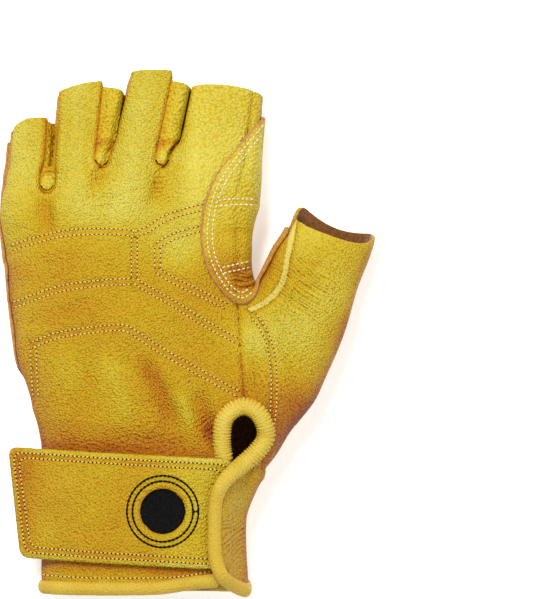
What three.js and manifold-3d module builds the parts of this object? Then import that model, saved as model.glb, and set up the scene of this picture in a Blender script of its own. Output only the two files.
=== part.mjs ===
// Half-finger leather climbing glove for the left hand, lying palm down.
// Millimetres. +X points to the thumb side, +Y to the fingertips, +Z up out of the back of the hand.
// The form is lofted as closed tubes: the hand, four fingers and the thumb. An outer and an inner set
// of tubes leave a hollow leather shell, which is cut along its seams into the panels sewn together.
// While it is built, y = 0 is the cuff hem and x = 0 the middle of the cuff. The last lines move the
// whole glove so that its origin is under the middle of its box, on the surface that it lies on.

import * as THREE from 'three';
import { mergeVertices } from 'three/addons/utils/BufferGeometryUtils.js';
import Module from 'manifold-3d';

const wasm = await Module();
wasm.setup();

// Driving dimensions
const LEATHER = 1.5; // wall of every sewn panel
const SEAM_GAP = 0.3; // between two panels that meet at a seam
const HAND_LENGTH = 173; // cuff hem to the web between the long fingers
const PALM_WIDTH = 99; // across the knuckles
const PALM_HEIGHT = 27; // through the hand at the knuckles
const HEEL_WIDTH = 102; // across the hand where the thumb sets in
const CUFF_WIDTH = 83;
const CUFF_HEIGHT = 27.5;
const WEB_DROP = 10; // the little finger's crotch lies this much nearer the cuff
const KNUCKLE_VALLEY = 2.4; // depth of the dips on the back that run down from the crotches

const OVERLAY = 1.3; // reinforcement leather on the palm
const OVERLAY_GAP = 0.3;
const OVERLAY_END = 8; // bare palm leather between the overlay and each finger's end
const FLATTENING = 1.5; // how much of the rounded underside the surface presses flat

const FINGER_LENGTH = { little: 40.5, ring: 48, middle: 51, index: 47.5 };
const FINGER_WIDTH = { little: 16.6, ring: 25, middle: 22.6, index: 29 }; // at the open end
const FINGER_HEIGHT = { little: 16, ring: 18, middle: 18.5, index: 19 };
const SLOT_RADIUS = 2.6; // round bottom of the slot between two fingers

const THUMB_LENGTH = 103; // root in the heel to the open end
const THUMB_WIDTH = 33.5; // at the open end
const THUMB_HEIGHT = 20;
const THUMB_TILT = 20; // degrees that the open end looks up

const STRAP_HEIGHT = 44;
const STRAP_THICKNESS = 1.8;
const STRAP_OVERHANG = 13; // past the cuff on the little-finger side
const STRAP_TUCK = 3; // under the flap
const STRAP_CORNER = 4;
const STRAP_Y = 33; // middle of the strap above the hem
const STRAP_TURN = -3; // degrees
const STRAP_RAKE = 5; // the strap's free end is this much shorter at its lower corner
const STRAP_SLOPE = 0.27; // fall of the overhanging end, per millimetre
const HOLE_RADIUS = 9; // carabiner hole in the strap
const HOLE_X = 7.5;
const PATCH_THICKNESS = 0.8; // loop patch between the strap and the cuff
const PATCH_WIDTH = 56;
const PATCH_HEIGHT = 30;
const LAYER_GAP = 0.3;

const BINDING_RADIUS = 2.2; // rolled leather round the hem, the slit and the teardrop
const BINDING_SIDES = 8;
const TEARDROP_WIDTH = 17.5; // of the binding's centre line
const TEARDROP_HEIGHT = 22;
const TEARDROP_X = 39.6; // middle of the teardrop
const TEARDROP_Y = 64;
const SLIT_X = 28; // free edge of the flap that covers the slit
const UNDERLAP = 4; // of the back panel under the flap
const WELT_WIDTH = 2.2; // of the pale strip beside the thumb's inner seam

// Sides and sections of the tubes
const HAND_SIDES = 28;
const HAND_STEPS = 12;
const FINGER_SIDES = 14;
const THUMB_SIDES = 18;
const BINDING_STEPS = 66;
const ROUNDNESS = 2.5; // 2 is an ellipse, more is boxier
const FAR = 300; // past everything

const SOLE = OVERLAY + OVERLAY_GAP; // underside of the palm panel

// Sections of the hand from the hem to the web between the fingers. at is a share of HAND_LENGTH,
// left and right are shares of the width named, height of the height named, and web of WEB_DROP.
const HAND_ROWS = [
  { at: 0.0, width: CUFF_WIDTH, left: 0.5, right: 0.5, height: CUFF_HEIGHT, web: 0 },
  { at: 0.17, width: CUFF_WIDTH, left: 0.49, right: 0.49, height: 0.99 * CUFF_HEIGHT, web: 0 },
  { at: 0.26, width: CUFF_WIDTH, left: 0.495, right: 0.56, height: 0.98 * CUFF_HEIGHT, web: 0 },
  { at: 0.35, width: HEEL_WIDTH, left: 0.41, right: 0.5, height: 0.98 * PALM_HEIGHT, web: 0 },
  { at: 0.45, width: HEEL_WIDTH, left: 0.45, right: 0.5, height: 1.02 * PALM_HEIGHT, web: 0 },
  { at: 0.54, width: HEEL_WIDTH, left: 0.495, right: 0.49, height: 1.04 * PALM_HEIGHT, web: 0 },
  { at: 0.64, width: PALM_WIDTH, left: 0.535, right: 0.47, height: 1.05 * PALM_HEIGHT, web: 0 },
  { at: 0.73, width: PALM_WIDTH, left: 0.55, right: 0.42, height: 1.05 * PALM_HEIGHT, web: 0.1 },
  { at: 0.82, width: PALM_WIDTH, left: 0.56, right: 0.416, height: 1.03 * PALM_HEIGHT, web: 0.3 },
  { at: 0.91, width: PALM_WIDTH, left: 0.565, right: 0.43, height: PALM_HEIGHT, web: 0.8 },
  { at: 0.97, width: PALM_WIDTH, left: 0.56, right: 0.435, height: 0.93 * PALM_HEIGHT, web: 1 },
  { at: 1.0, width: PALM_WIDTH, left: 0.545, right: 0.425, height: 0.7 * PALM_HEIGHT, web: 1 },
];

// Fingers. x and y are the root as shares of PALM_WIDTH and HAND_LENGTH, root and thick the root's
// width and height as shares of the open end's, lean degrees towards the thumb, droop degrees that
// the open end hangs, and seam the back panel's edge as a share of the half width.
const FINGERS = [
  { name: 'little', x: -0.485, y: 0.847, lean: 4, droop: 22, root: 1.05, thick: 1.3, seam: 0.62 },
  { name: 'ring', x: -0.283, y: 0.882, lean: 7, droop: 20, root: 0.86, thick: 1.32, seam: 0.4 },
  { name: 'middle', x: -0.057, y: 0.894, lean: 12, droop: 16, root: 0.99, thick: 1.32, seam: 0.5 },
  { name: 'index', x: 0.263, y: 0.882, lean: 8, droop: 18, root: 1.2, thick: 1.28, seam: 0.8 },
];

// Sections of the thumb from its root in the heel. across and along are shares of THUMB_LENGTH,
// width and height shares of THUMB_WIDTH and THUMB_HEIGHT, and tilt a share of THUMB_TILT.
const THUMB_ROOT = { x: 0.32 * HEEL_WIDTH, y: 0.305 * HAND_LENGTH };
const THUMB_ROWS = [
  { across: 0, along: 0, width: 0.7, height: 1.0, tilt: 0 },
  { across: 0.04, along: 0.117, width: 1.06, height: 1.2, tilt: 0 },
  { across: 0.085, along: 0.233, width: 1.28, height: 1.28, tilt: 0 },
  { across: 0.155, along: 0.35, width: 1.36, height: 1.3, tilt: 0 },
  { across: 0.264, along: 0.544, width: 1.22, height: 1.24, tilt: 0.2 },
  { across: 0.342, along: 0.726, width: 1.08, height: 1.12, tilt: 0.6 },
  { across: 0.419, along: 0.905, width: 1, height: 1, tilt: 1 },
];

// Seams on the back, from the fingers to the cuff. x is a share of PALM_WIDTH, y of HAND_LENGTH.
// The back seam runs on to the top of the teardrop.
const BACK_SEAM = [
  { x: 0.46, y: 1.26 }, { x: 0.42, y: 1.06 }, { x: 0.38, y: 0.92 }, { x: 0.37, y: 0.8 },
  { x: 0.375, y: 0.68 }, { x: 0.385, y: 0.57 },
];
const THUMB_SEAM_BACK = [
  { x: 0.43, y: 0.648 }, { x: 0.47, y: 0.62 }, { x: 0.5, y: 0.58 }, { x: 0.515, y: 0.5 },
  { x: 0.51, y: 0.42 }, { x: 0.49, y: 0.35 }, { x: 0.47, y: 0.285 },
];
const THUMB_SEAM_PALM = [
  { x: 0.47, y: 0.285 }, { x: 0.32, y: 0.25 }, { x: 0.16, y: 0.24 }, { x: 0, y: 0.24 },
  { x: -0.16, y: 0.28 }, { x: -0.28, y: 0.37 }, { x: -0.28, y: 0.42 }, { x: -0.16, y: 0.47 },
  { x: 0, y: 0.58 }, { x: 0.2, y: 0.64 }, { x: 0.4, y: 0.68 }, { x: 0.55, y: 0.8 },
  { x: 0.64, y: 1.02 },
];
const WELT_SEAM = [
  { x: 0.43, y: 0.648 }, { x: 0.505, y: 0.67 }, { x: 0.565, y: 0.712 }, { x: 0.584, y: 0.77 },
  { x: 0.615, y: 0.87 }, { x: 0.66, y: 1.02 },
];

// Free edge of the palm overlay, where it wraps onto the back and down the thumb, and on the palm.
const OVERLAY_BACK = [
  { x: 0.62, y: 1.16 }, { x: 0.5, y: 1.11 }, { x: 0.452, y: 1.08 }, { x: 0.384, y: 1.03 },
  { x: 0.311, y: 0.975 }, { x: 0.263, y: 0.92 }, { x: 0.238, y: 0.86 }, { x: 0.234, y: 0.81 },
  { x: 0.246, y: 0.77 }, { x: 0.275, y: 0.73 }, { x: 0.323, y: 0.69 }, { x: 0.376, y: 0.669 },
  { x: 0.43, y: 0.675 }, { x: 0.49, y: 0.71 }, { x: 0.53, y: 0.76 }, { x: 0.545, y: 0.83 },
  { x: 0.58, y: 0.88 },
];
const OVERLAY_PALM = [
  { x: -0.6, y: 0.64 }, { x: -0.5, y: 0.52 }, { x: -0.4, y: 0.42 }, { x: -0.34, y: 0.4 },
  { x: -0.16, y: 0.485 }, { x: 0, y: 0.6 }, { x: 0.2, y: 0.66 }, { x: 0.42, y: 0.7 },
  { x: 0.52, y: 0.74 }, { x: 0.6, y: 0.88 },
];

const radians = THREE.MathUtils.degToRad;
const { lerp, clamp, smoothstep } = THREE.MathUtils;

const leather = new THREE.MeshStandardMaterial({ color: 0xd9ab2e, roughness: 0.6, metalness: 0 });
const pale = new THREE.MeshStandardMaterial({ color: 0xe3c35a, roughness: 0.55, metalness: 0 });
const loops = new THREE.MeshStandardMaterial({ color: 0x17151a, roughness: 0.95, metalness: 0 });

// Evenly spaced values, with both ends.
const spread = (from, to, count) =>
  Array.from({ length: count }, (_, i) => lerp(from, to, i / (count - 1)));

// A closed three.js geometry as a solid, and a solid as a geometry.
function solid(geometry) {
  const bare = geometry.index ? geometry.toNonIndexed() : geometry.clone();
  bare.deleteAttribute('normal');
  bare.deleteAttribute('uv');
  const merged = mergeVertices(bare, 1e-4);
  return new wasm.Manifold(new wasm.Mesh({
    numProp: 3,
    vertProperties: new Float32Array(merged.attributes.position.array),
    triVerts: new Uint32Array(merged.index.array),
  }));
}

function geometryOf(made) {
  const mesh = made.getMesh();
  const points = new Float32Array(mesh.numVert * 3);
  for (let i = 0; i < mesh.numVert; i++) {
    const from = i * mesh.numProp;
    points.set(mesh.vertProperties.subarray(from, from + 3), i * 3);
  }
  return new THREE.BufferGeometry()
    .setAttribute('position', new THREE.BufferAttribute(points, 3))
    .setIndex(new THREE.BufferAttribute(mesh.triVerts, 1));
}

const joined = (solids) => solids.reduce((all, one) => all.add(one));
const without = (made, cutters) => cutters.reduce((left, cutter) => left.subtract(cutter), made);

// A closed tube through rings of points that run round +Y as seen on the back from +X to +Z.
function tube(rings) {
  const sides = rings[0].length;
  const points = rings.flat();
  const ends = [rings[0], rings[rings.length - 1]].map((ring) =>
    ring.reduce((sum, p) => sum.add(p), new THREE.Vector3()).divideScalar(sides));
  const faces = [];
  for (let r = 0; r + 1 < rings.length; r++) {
    for (let j = 0; j < sides; j++) {
      const a = r * sides + j;
      const b = r * sides + (j + 1) % sides;
      faces.push(a, a + sides, b, b, a + sides, b + sides);
    }
  }
  const first = points.length;
  const last = (rings.length - 1) * sides;
  for (let j = 0; j < sides; j++) {
    const next = (j + 1) % sides;
    faces.push(first, j, next, first + 1, last + next, last + j);
  }
  const flat = [...points, ...ends].flatMap((p) => [p.x, p.y, p.z]);
  const geometry = new THREE.BufferGeometry()
    .setAttribute('position', new THREE.Float32BufferAttribute(flat, 3))
    .setIndex(faces);
  return solid(geometry);
}

// Corner j of a rounded ring, as shares of its half width and half height.
function around(j, sides) {
  const angle = (2 * Math.PI * (j + 0.5)) / sides;
  const power = 2 / ROUNDNESS;
  return {
    across: Math.sign(Math.cos(angle)) * Math.abs(Math.cos(angle)) ** power,
    up: Math.sign(Math.sin(angle)) * Math.abs(Math.sin(angle)) ** power,
  };
}

// Smooth value of a column between the rows of a table, at a share of the named key.
function column(rows, key, name, at) {
  const last = rows.length - 1;
  const next = clamp(rows.findIndex((row) => row[key] >= at), 1, last);
  const upper = at > rows[last][key] ? last : next;
  const value = (i) => rows[clamp(i, 0, last)][name];
  const t = clamp((at - rows[upper - 1][key]) / (rows[upper][key] - rows[upper - 1][key]), 0, 1);
  const [p0, p1, p2, p3] = [value(upper - 2), value(upper - 1), value(upper), value(upper + 1)];
  const bend = (2 * p0 - 5 * p1 + 4 * p2 - p3) * t * t + (3 * p1 - p0 - 3 * p2 + p3) * t * t * t;
  return 0.5 * (2 * p1 + (p2 - p0) * t + bend);
}

// The hand's section at height y above the hem.
const HAND_SIZES = HAND_ROWS.map((row) => ({
  at: row.at,
  left: -row.left * row.width,
  right: row.right * row.width,
  height: row.height,
  web: row.web,
}));

function handSection(y) {
  const value = (name) => column(HAND_SIZES, 'at', name, y / HAND_LENGTH);
  const left = value('left');
  const right = value('right');
  const height = value('height');
  const middle = SOLE - FLATTENING + Math.max(height, 0.9 * PALM_HEIGHT) / 2;
  return { x: (left + right) / 2, half: (right - left) / 2, height, z: middle, web: value('web') };
}

const fingerRoot = (finger) => new THREE.Vector2(finger.x * PALM_WIDTH, finger.y * HAND_LENGTH);
const rootHalf = (finger) => (finger.root * FINGER_WIDTH[finger.name]) / 2;
const crotches = FINGERS.slice(0, -1).map((finger, i) => {
  const next = FINGERS[i + 1];
  const inner = fingerRoot(finger).x + rootHalf(finger);
  return (inner + fingerRoot(next).x - rootHalf(next)) / 2;
});

// Depth of the dips between the knuckles, from 0 on a finger's line to 1 below a crotch.
function valley(x, y) {
  const near = smoothstep(y / HAND_LENGTH, 0.78, 0.97);
  const width = 0.075 * PALM_WIDTH;
  const dips = crotches.reduce((sum, at) => sum + Math.exp(-(((x - at) / width) ** 2)), 0);
  return near * dips;
}

// How far the web between the fingers lies nearer the cuff at x.
const webDrop = (x) => WEB_DROP * smoothstep(-x, -crotches[1] + 1, -crotches[0] + 1);

// The back of the hand at x, y.
function handTop(x, y) {
  const s = handSection(y);
  const reach = clamp(Math.abs((x - s.x) / s.half), 0, 1);
  const up = (1 - reach ** ROUNDNESS) ** (1 / ROUNDNESS);
  return s.z + (s.height / 2) * up - KNUCKLE_VALLEY * valley(x, y) * up;
}

function handTube(offset) {
  const ys = Array.from({ length: HAND_STEPS + 1 }, (_, i) => HAND_LENGTH * (i / HAND_STEPS) ** 0.9);
  ys[HAND_STEPS] += offset;
  if (offset < 0) ys.unshift(-4 * LEATHER);
  return tube(ys.map((y) => {
    const s = handSection(clamp(y, 0, HAND_LENGTH));
    return Array.from({ length: HAND_SIDES }, (_, j) => {
      const c = around(j, HAND_SIDES);
      const x = s.x + c.across * s.half;
      const dip = c.up > 0 ? KNUCKLE_VALLEY * valley(x, y) * c.up : 0;
      const z = s.z + c.up * (s.height / 2 + offset) - dip;
      return new THREE.Vector3(x + c.across * offset, y - s.web * webDrop(x), z);
    });
  }));
}

// Frame of a finger at a share s of its length.
function fingerFrame(finger, s) {
  const length = FINGER_LENGTH[finger.name];
  const width = FINGER_WIDTH[finger.name];
  const height = FINGER_HEIGHT[finger.name];
  const lean = radians(finger.lean);
  const along = new THREE.Vector3(Math.sin(lean), Math.cos(lean), 0);
  const side = new THREE.Vector3(Math.cos(lean), -Math.sin(lean), 0);
  const droop = radians(finger.droop) * clamp(s, 0, 1) ** 2;
  const up = new THREE.Vector3(0, 0, Math.cos(droop)).addScaledVector(along, Math.sin(droop));
  const root = fingerRoot(finger);
  const rootZ = SOLE - 0.3 * FLATTENING + (finger.thick * height) / 2;
  const tipZ = SOLE - 0.6 * FLATTENING + height / 2;
  const centre = new THREE.Vector3(root.x, root.y, lerp(rootZ, tipZ, s))
    .addScaledVector(along, s * length);
  const buried = s < 0 ? 0.55 : 1;
  return {
    centre, side, up, along,
    half: (buried * width * lerp(finger.root, 1, s)) / 2,
    tall: (buried * height * lerp(finger.thick, 1, s)) / 2,
  };
}

function ringAt(frame, offset, sides) {
  return Array.from({ length: sides }, (_, j) => {
    const c = around(j, sides);
    return frame.centre.clone()
      .addScaledVector(frame.side, c.across * (frame.half + offset))
      .addScaledVector(frame.up, c.up * (frame.tall + offset));
  });
}

function fingerTube(finger, offset) {
  const past = offset < 0 ? 1 + (4 * LEATHER) / FINGER_LENGTH[finger.name] : 1;
  const shares = [-0.3, 0.08, 0.36, 0.62, 0.82, 1, past].filter((s, i) => i < 6 || s > 1);
  return tube(shares.map((s) => ringAt(fingerFrame(finger, s), offset, FINGER_SIDES)));
}

function thumbFrame(s) {
  const value = (name) => column(THUMB_ROWS, 'along', name, clamp(s, 0, THUMB_END));
  const at = (share) => new THREE.Vector3(
    THUMB_ROOT.x + THUMB_LENGTH * column(THUMB_ROWS, 'along', 'across', share),
    THUMB_ROOT.y + THUMB_LENGTH * share,
    0,
  );
  const along = at(Math.min(s + 0.02, THUMB_END)).sub(at(Math.min(s, THUMB_END) - 0.02)).normalize();
  const side = new THREE.Vector3(along.y, -along.x, 0);
  const tilt = -radians(THUMB_TILT) * value('tilt');
  const up = new THREE.Vector3(0, 0, Math.cos(tilt)).addScaledVector(along, Math.sin(tilt));
  const tall = (THUMB_HEIGHT * value('height')) / 2;
  const centre = at(Math.min(s, THUMB_END)).addScaledVector(along, Math.max(s - THUMB_END, 0) * THUMB_LENGTH);
  centre.z = SOLE - 0.6 * FLATTENING + tall;
  return { centre, side, up, along, half: (THUMB_WIDTH * value('width')) / 2, tall };
}

const THUMB_END = THUMB_ROWS[THUMB_ROWS.length - 1].along;

function thumbTube(offset) {
  const shares = [0, 0.08, 0.16, 0.24, 0.33, 0.43, 0.54, 0.65, 0.78, THUMB_END];
  if (offset < 0) shares.push(THUMB_END + (5 * LEATHER) / THUMB_LENGTH);
  return tube(shares.map((s) => ringAt(thumbFrame(s), offset, THUMB_SIDES)));
}

// A box from one corner to the other.
function box(low, high) {
  const size = high.map((h, i) => h - low[i]);
  const geometry = new THREE.BoxGeometry(...size);
  geometry.translate(...low.map((l, i) => l + size[i] / 2));
  return solid(geometry);
}

// The whole glove grown by offset, pressed flat where it lies.
function form(offset) {
  const limbs = [handTube(offset), ...FINGERS.map((f) => fingerTube(f, offset)), thumbTube(offset)];
  return joined(limbs).intersect(box([-FAR, -FAR, SOLE - offset], [FAR, FAR, FAR]));
}

// Upright prism over a closed outline of [x, y] pairs.
function prism(outline, low = -FAR, high = FAR) {
  const shape = new THREE.Shape(outline.map(([x, y]) => new THREE.Vector2(x, y)));
  const geometry = new THREE.ExtrudeGeometry(shape, { depth: high - low, bevelEnabled: false });
  geometry.translate(0, 0, low);
  return solid(geometry);
}

// An outline moved outwards by distance, for the gap on the other side of a seam.
function grown(outline, distance) {
  const points = outline.map(([x, y]) => new THREE.Vector2(x, y));
  const turn = THREE.ShapeUtils.area(points) > 0 ? 1 : -1;
  const normals = points.map((p, i) => {
    const edge = points[(i + 1) % points.length].clone().sub(p).normalize();
    return new THREE.Vector2(turn * edge.y, -turn * edge.x);
  });
  return points.map((p, i) => {
    const before = normals[(i + points.length - 1) % points.length];
    const reach = distance / Math.max(1 + before.dot(normals[i]), 0.4);
    const moved = p.clone().addScaledVector(before, reach).addScaledVector(normals[i], reach);
    return [moved.x, moved.y];
  });
}

const places = (rows) => rows.map((row) => [row.x * PALM_WIDTH, row.y * HAND_LENGTH]);

// Everything above or below the side seam, which falls towards the fingertips.
const SIDE_SEAM = [
  { y: -1, z: 0.5 }, { y: 0.7, z: 0.54 }, { y: 1, z: 0.5 }, { y: 1.3, z: 0.4 }, { y: 2, z: 0.4 },
];

function aboveSideSeam(shift) {
  const line = SIDE_SEAM.map((row) => [row.y * HAND_LENGTH, row.z * PALM_HEIGHT + shift]);
  const shape = new THREE.Shape([...line, [2 * HAND_LENGTH, FAR], [-HAND_LENGTH, FAR]]
    .map(([y, z]) => new THREE.Vector2(y, z)));
  const geometry = new THREE.ExtrudeGeometry(shape, { depth: 2 * FAR, bevelEnabled: false });
  geometry.applyMatrix4(new THREE.Matrix4().set(0, 0, 1, -FAR, 1, 0, 0, 0, 0, 1, 0, 0, 0, 0, 0, 1));
  return solid(geometry);
}

// Regions. Each is the space that a panel is cut from, and grown by SEAM_GAP it clears the neighbours.
const HIGH_Y = 2 * HAND_LENGTH;
const OVERLAP = 0.05; // so that the two halves of a wrapped region join
const belowSideSeam = (shift) => box([-FAR, -FAR, -FAR], [FAR, FAR, FAR]).subtract(aboveSideSeam(shift));

// The region of a panel that runs over the side, from its outline on the back and that on the palm.
function wrapped(backOutline, palmOutline, gap) {
  const back = prism(grown(backOutline, gap)).intersect(aboveSideSeam(-gap - OVERLAP));
  return back.add(prism(grown(palmOutline, gap)).intersect(belowSideSeam(gap + OVERLAP)));
}

// The slot between finger i and the next, from its round bottom out past both tips.
function slotOutline(i) {
  const [before, after] = [FINGERS[i], FINGERS[i + 1]];
  const [left, right] = [before, after].map((finger) => fingerFrame(finger, 1.2));
  const seam = left.centre.clone().addScaledVector(left.side, before.seam * left.half);
  const edge = right.centre.clone().addScaledVector(right.side, -0.95 * right.half);
  const x = crotches[i];
  const y = HAND_LENGTH - webDrop(x);
  const bottom = spread(180, 360, 7).map((angle) => [
    x + SLOT_RADIUS * Math.cos(radians(angle)),
    y + SLOT_RADIUS * Math.sin(radians(angle)),
  ]);
  return [...bottom, [edge.x, edge.y], [seam.x, seam.y]];
}

// Teardrop at the top of the slit, and the free edge of the flap below it, both as centre lines of
// the binding. across and up are shares of the teardrop's half sizes, out of the room beside SLIT_X.
const TEARDROP = [
  { across: 0.64, up: -0.63 }, { across: 1, up: -0.17 }, { across: 0.95, up: 0.3 },
  { across: 0.6, up: 0.77 }, { across: 0.05, up: 0.97 }, { across: -0.5, up: 0.83 },
  { across: -0.91, up: 0.43 }, { across: -1, up: -0.23 }, { across: -0.97, up: -0.62 },
];
const FLAP_EDGE = [
  { out: 0.9, up: 0.02 }, { out: 0.55, up: 0.07 }, { out: 0.22, up: 0.15 }, { out: 0.03, up: 0.29 },
  { out: 0, up: 0.48 }, { out: 0.03, up: 0.7 }, { out: 0.17, up: 0.83 }, { out: 0.45, up: 0.93 },
  { out: 0.88, up: 1.02 },
];
const SLIT_HEIGHT = TEARDROP_Y - TEARDROP_HEIGHT / 2 - 2;
const teardrop = TEARDROP.map((row) => [
  TEARDROP_X + (row.across * TEARDROP_WIDTH) / 2,
  TEARDROP_Y + (row.up * TEARDROP_HEIGHT) / 2,
]);
const flapEdge = FLAP_EDGE.map((row) => [
  SLIT_X + row.out * (CUFF_WIDTH / 2 - SLIT_X),
  row.up * SLIT_HEIGHT,
]);

// The flap stands proud of the cuff, because the strap passes under it.
const STRAP_LIFT = LAYER_GAP + PATCH_THICKNESS + LAYER_GAP;
const FLAP_LIFT = STRAP_LIFT + STRAP_THICKNESS + LAYER_GAP + BINDING_RADIUS + LEATHER / 2;

// The lift is full over the strap's end, and fades towards the glove's side and the teardrop.
function flapLift(x, y) {
  if (x < 0) return 0;
  const s = handSection(clamp(y, 0, HAND_LENGTH));
  const side = Math.min(s.x + s.half, CUFF_WIDTH / 2 + 2) - LEATHER;
  const out = 1 - smoothstep(x, SLIT_X + STRAP_TUCK, side);
  return FLAP_LIFT * out * (1 - smoothstep(y, 0.92 * SLIT_HEIGHT, 1.12 * SLIT_HEIGHT));
}

// Centre line of the binding: the hem from the slit round the cuff, the flap's edge, the teardrop.
function bindingLine() {
  const s = handSection(0);
  const middle = -LEATHER / 2;
  const from = Math.acos(((SLIT_X + 2.5) / (s.half + middle)) ** (ROUNDNESS / 2));
  const hem = Array.from({ length: 25 }, (_, i) => {
    const angle = lerp(from, 2 * Math.PI - 0.15, i / 24);
    const power = 2 / ROUNDNESS;
    const x = s.x + Math.sign(Math.cos(angle)) * Math.abs(Math.cos(angle)) ** power * (s.half + middle);
    const up = Math.sign(Math.sin(angle)) * Math.abs(Math.sin(angle)) ** power;
    const y = BINDING_RADIUS + (up > 0 ? 3 * smoothstep(x, 0, SLIT_X) : 0);
    const z = Math.max(s.z + up * (s.height / 2 + middle), SOLE + LEATHER / 2);
    return new THREE.Vector3(x, y, z);
  });
  const flap = [...flapEdge, ...teardrop].map(([x, y]) => {
    const z = handTop(x, y) - LEATHER / 2 + flapLift(x, y);
    return new THREE.Vector3(x, y, z);
  });
  return new THREE.CatmullRomCurve3([...hem, ...flap], false, 'centripetal');
}

function bindingTube(radius) {
  const circle = Array.from({ length: BINDING_SIDES }, (_, i) => {
    const angle = (2 * Math.PI * i) / BINDING_SIDES;
    return new THREE.Vector2(radius * Math.cos(angle), radius * Math.sin(angle));
  });
  return solid(new THREE.ExtrudeGeometry(new THREE.Shape(circle), {
    steps: BINDING_STEPS,
    extrudePath: bindingLine(),
  }));
}

// A slab between two heights over a grid of x and y.
function slab(xs, ys, low, high) {
  const points = [low, high].flatMap((height) =>
    ys.flatMap((y) => xs.map((x) => new THREE.Vector3(x, y, height(x, y)))));
  const [columns, layer] = [xs.length, xs.length * ys.length];
  const faces = [];
  const quad = (a, b, c, d) => faces.push(a, b, c, a, c, d);
  for (let r = 0; r + 1 < ys.length; r++) {
    for (let c = 0; c + 1 < columns; c++) {
      const a = r * columns + c;
      quad(a, a + columns, a + columns + 1, a + 1);
      quad(layer + a, layer + a + 1, layer + a + columns + 1, layer + a + columns);
    }
  }
  for (let c = 0; c + 1 < columns; c++) {
    const far = (ys.length - 1) * columns + c;
    quad(c, c + 1, layer + c + 1, layer + c);
    quad(far + 1, far, layer + far, layer + far + 1);
  }
  for (let r = 0; r + 1 < ys.length; r++) {
    const [a, b] = [r * columns, (r + 1) * columns];
    quad(b, a, layer + a, layer + b);
    quad(a + columns - 1, b + columns - 1, layer + b + columns - 1, layer + a + columns - 1);
  }
  const geometry = new THREE.BufferGeometry()
    .setAttribute('position', new THREE.Float32BufferAttribute(points.flatMap((p) => [p.x, p.y, p.z]), 3))
    .setIndex(faces);
  return solid(geometry);
}

// A closed outline with each corner rounded.
function rounded(corners, radius) {
  const points = corners.map(([x, y]) => new THREE.Vector2(x, y));
  return points.flatMap((p, i) => {
    const before = points[(i + points.length - 1) % points.length].clone().sub(p).setLength(radius).add(p);
    const after = points[(i + 1) % points.length].clone().sub(p).setLength(radius).add(p);
    return new THREE.QuadraticBezierCurve(before, p, after).getPoints(5).map((q) => [q.x, q.y]);
  });
}

const ring = (x, y, radius, count) => spread(0, 360, count + 1).slice(1).map((angle) => [
  x + radius * Math.cos(radians(angle)),
  y + radius * Math.sin(radians(angle)),
]);

// Height of the strap's underside: on the cuff, then straight on where it overhangs.
function strapUnder(x, y) {
  const leaves = -0.34 * CUFF_WIDTH;
  return handTop(Math.max(x, leaves), y) + STRAP_LIFT - STRAP_SLOPE * Math.max(leaves - x, 0);
}

const STRAP_LEFT = -CUFF_WIDTH / 2 - STRAP_OVERHANG;
const STRAP_RIGHT = SLIT_X + STRAP_TUCK;

function strap() {
  const fall = (x) => STRAP_Y + (x - HOLE_X) * Math.tan(radians(STRAP_TURN));
  const corners = [
    [STRAP_RIGHT, fall(STRAP_RIGHT) + STRAP_HEIGHT / 2],
    [STRAP_LEFT, fall(STRAP_LEFT) + STRAP_HEIGHT / 2],
    [STRAP_LEFT + STRAP_RAKE, fall(STRAP_LEFT) - STRAP_HEIGHT / 2],
    [STRAP_RIGHT, fall(STRAP_RIGHT) - STRAP_HEIGHT / 2],
  ];
  const xs = spread(STRAP_LEFT - 1, STRAP_RIGHT + 1, 16);
  const ys = spread(STRAP_Y - 0.6 * STRAP_HEIGHT, STRAP_Y + 0.6 * STRAP_HEIGHT, 6);
  return slab(xs, ys, strapUnder, (x, y) => strapUnder(x, y) + STRAP_THICKNESS)
    .intersect(prism(rounded(corners, STRAP_CORNER)))
    .subtract(prism(ring(HOLE_X, STRAP_Y, HOLE_RADIUS, 28)));
}

function loopPatch() {
  const xs = spread(HOLE_X - PATCH_WIDTH + 2 * HOLE_RADIUS, HOLE_X + 1.6 * HOLE_RADIUS, 9);
  const ys = spread(STRAP_Y - PATCH_HEIGHT / 2, STRAP_Y + PATCH_HEIGHT / 2, 4);
  const under = (x, y) => handTop(x, y) + LAYER_GAP;
  return slab(xs, ys, under, (x, y) => under(x, y) + PATCH_THICKNESS);
}

// The largest body of a cut, without the slivers that facets leave beside a seam.
const mainBody = (made) => made.decompose().reduce((a, b) => (a.volume() > b.volume() ? a : b));

// The palm panel with its flap, the upper layer of the cuff, lifted over the strap.
function lifted(made) {
  const mesh = made.getMesh();
  for (let i = 0; i < mesh.numVert; i++) {
    const at = i * mesh.numProp;
    const [x, y, z] = mesh.vertProperties.subarray(at, at + 3);
    const section = handSection(clamp(y, 0, HAND_LENGTH));
    mesh.vertProperties[at + 2] = z + (z > section.z ? flapLift(x, y) : 0);
  }
  return new wasm.Manifold(mesh);
}

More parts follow.
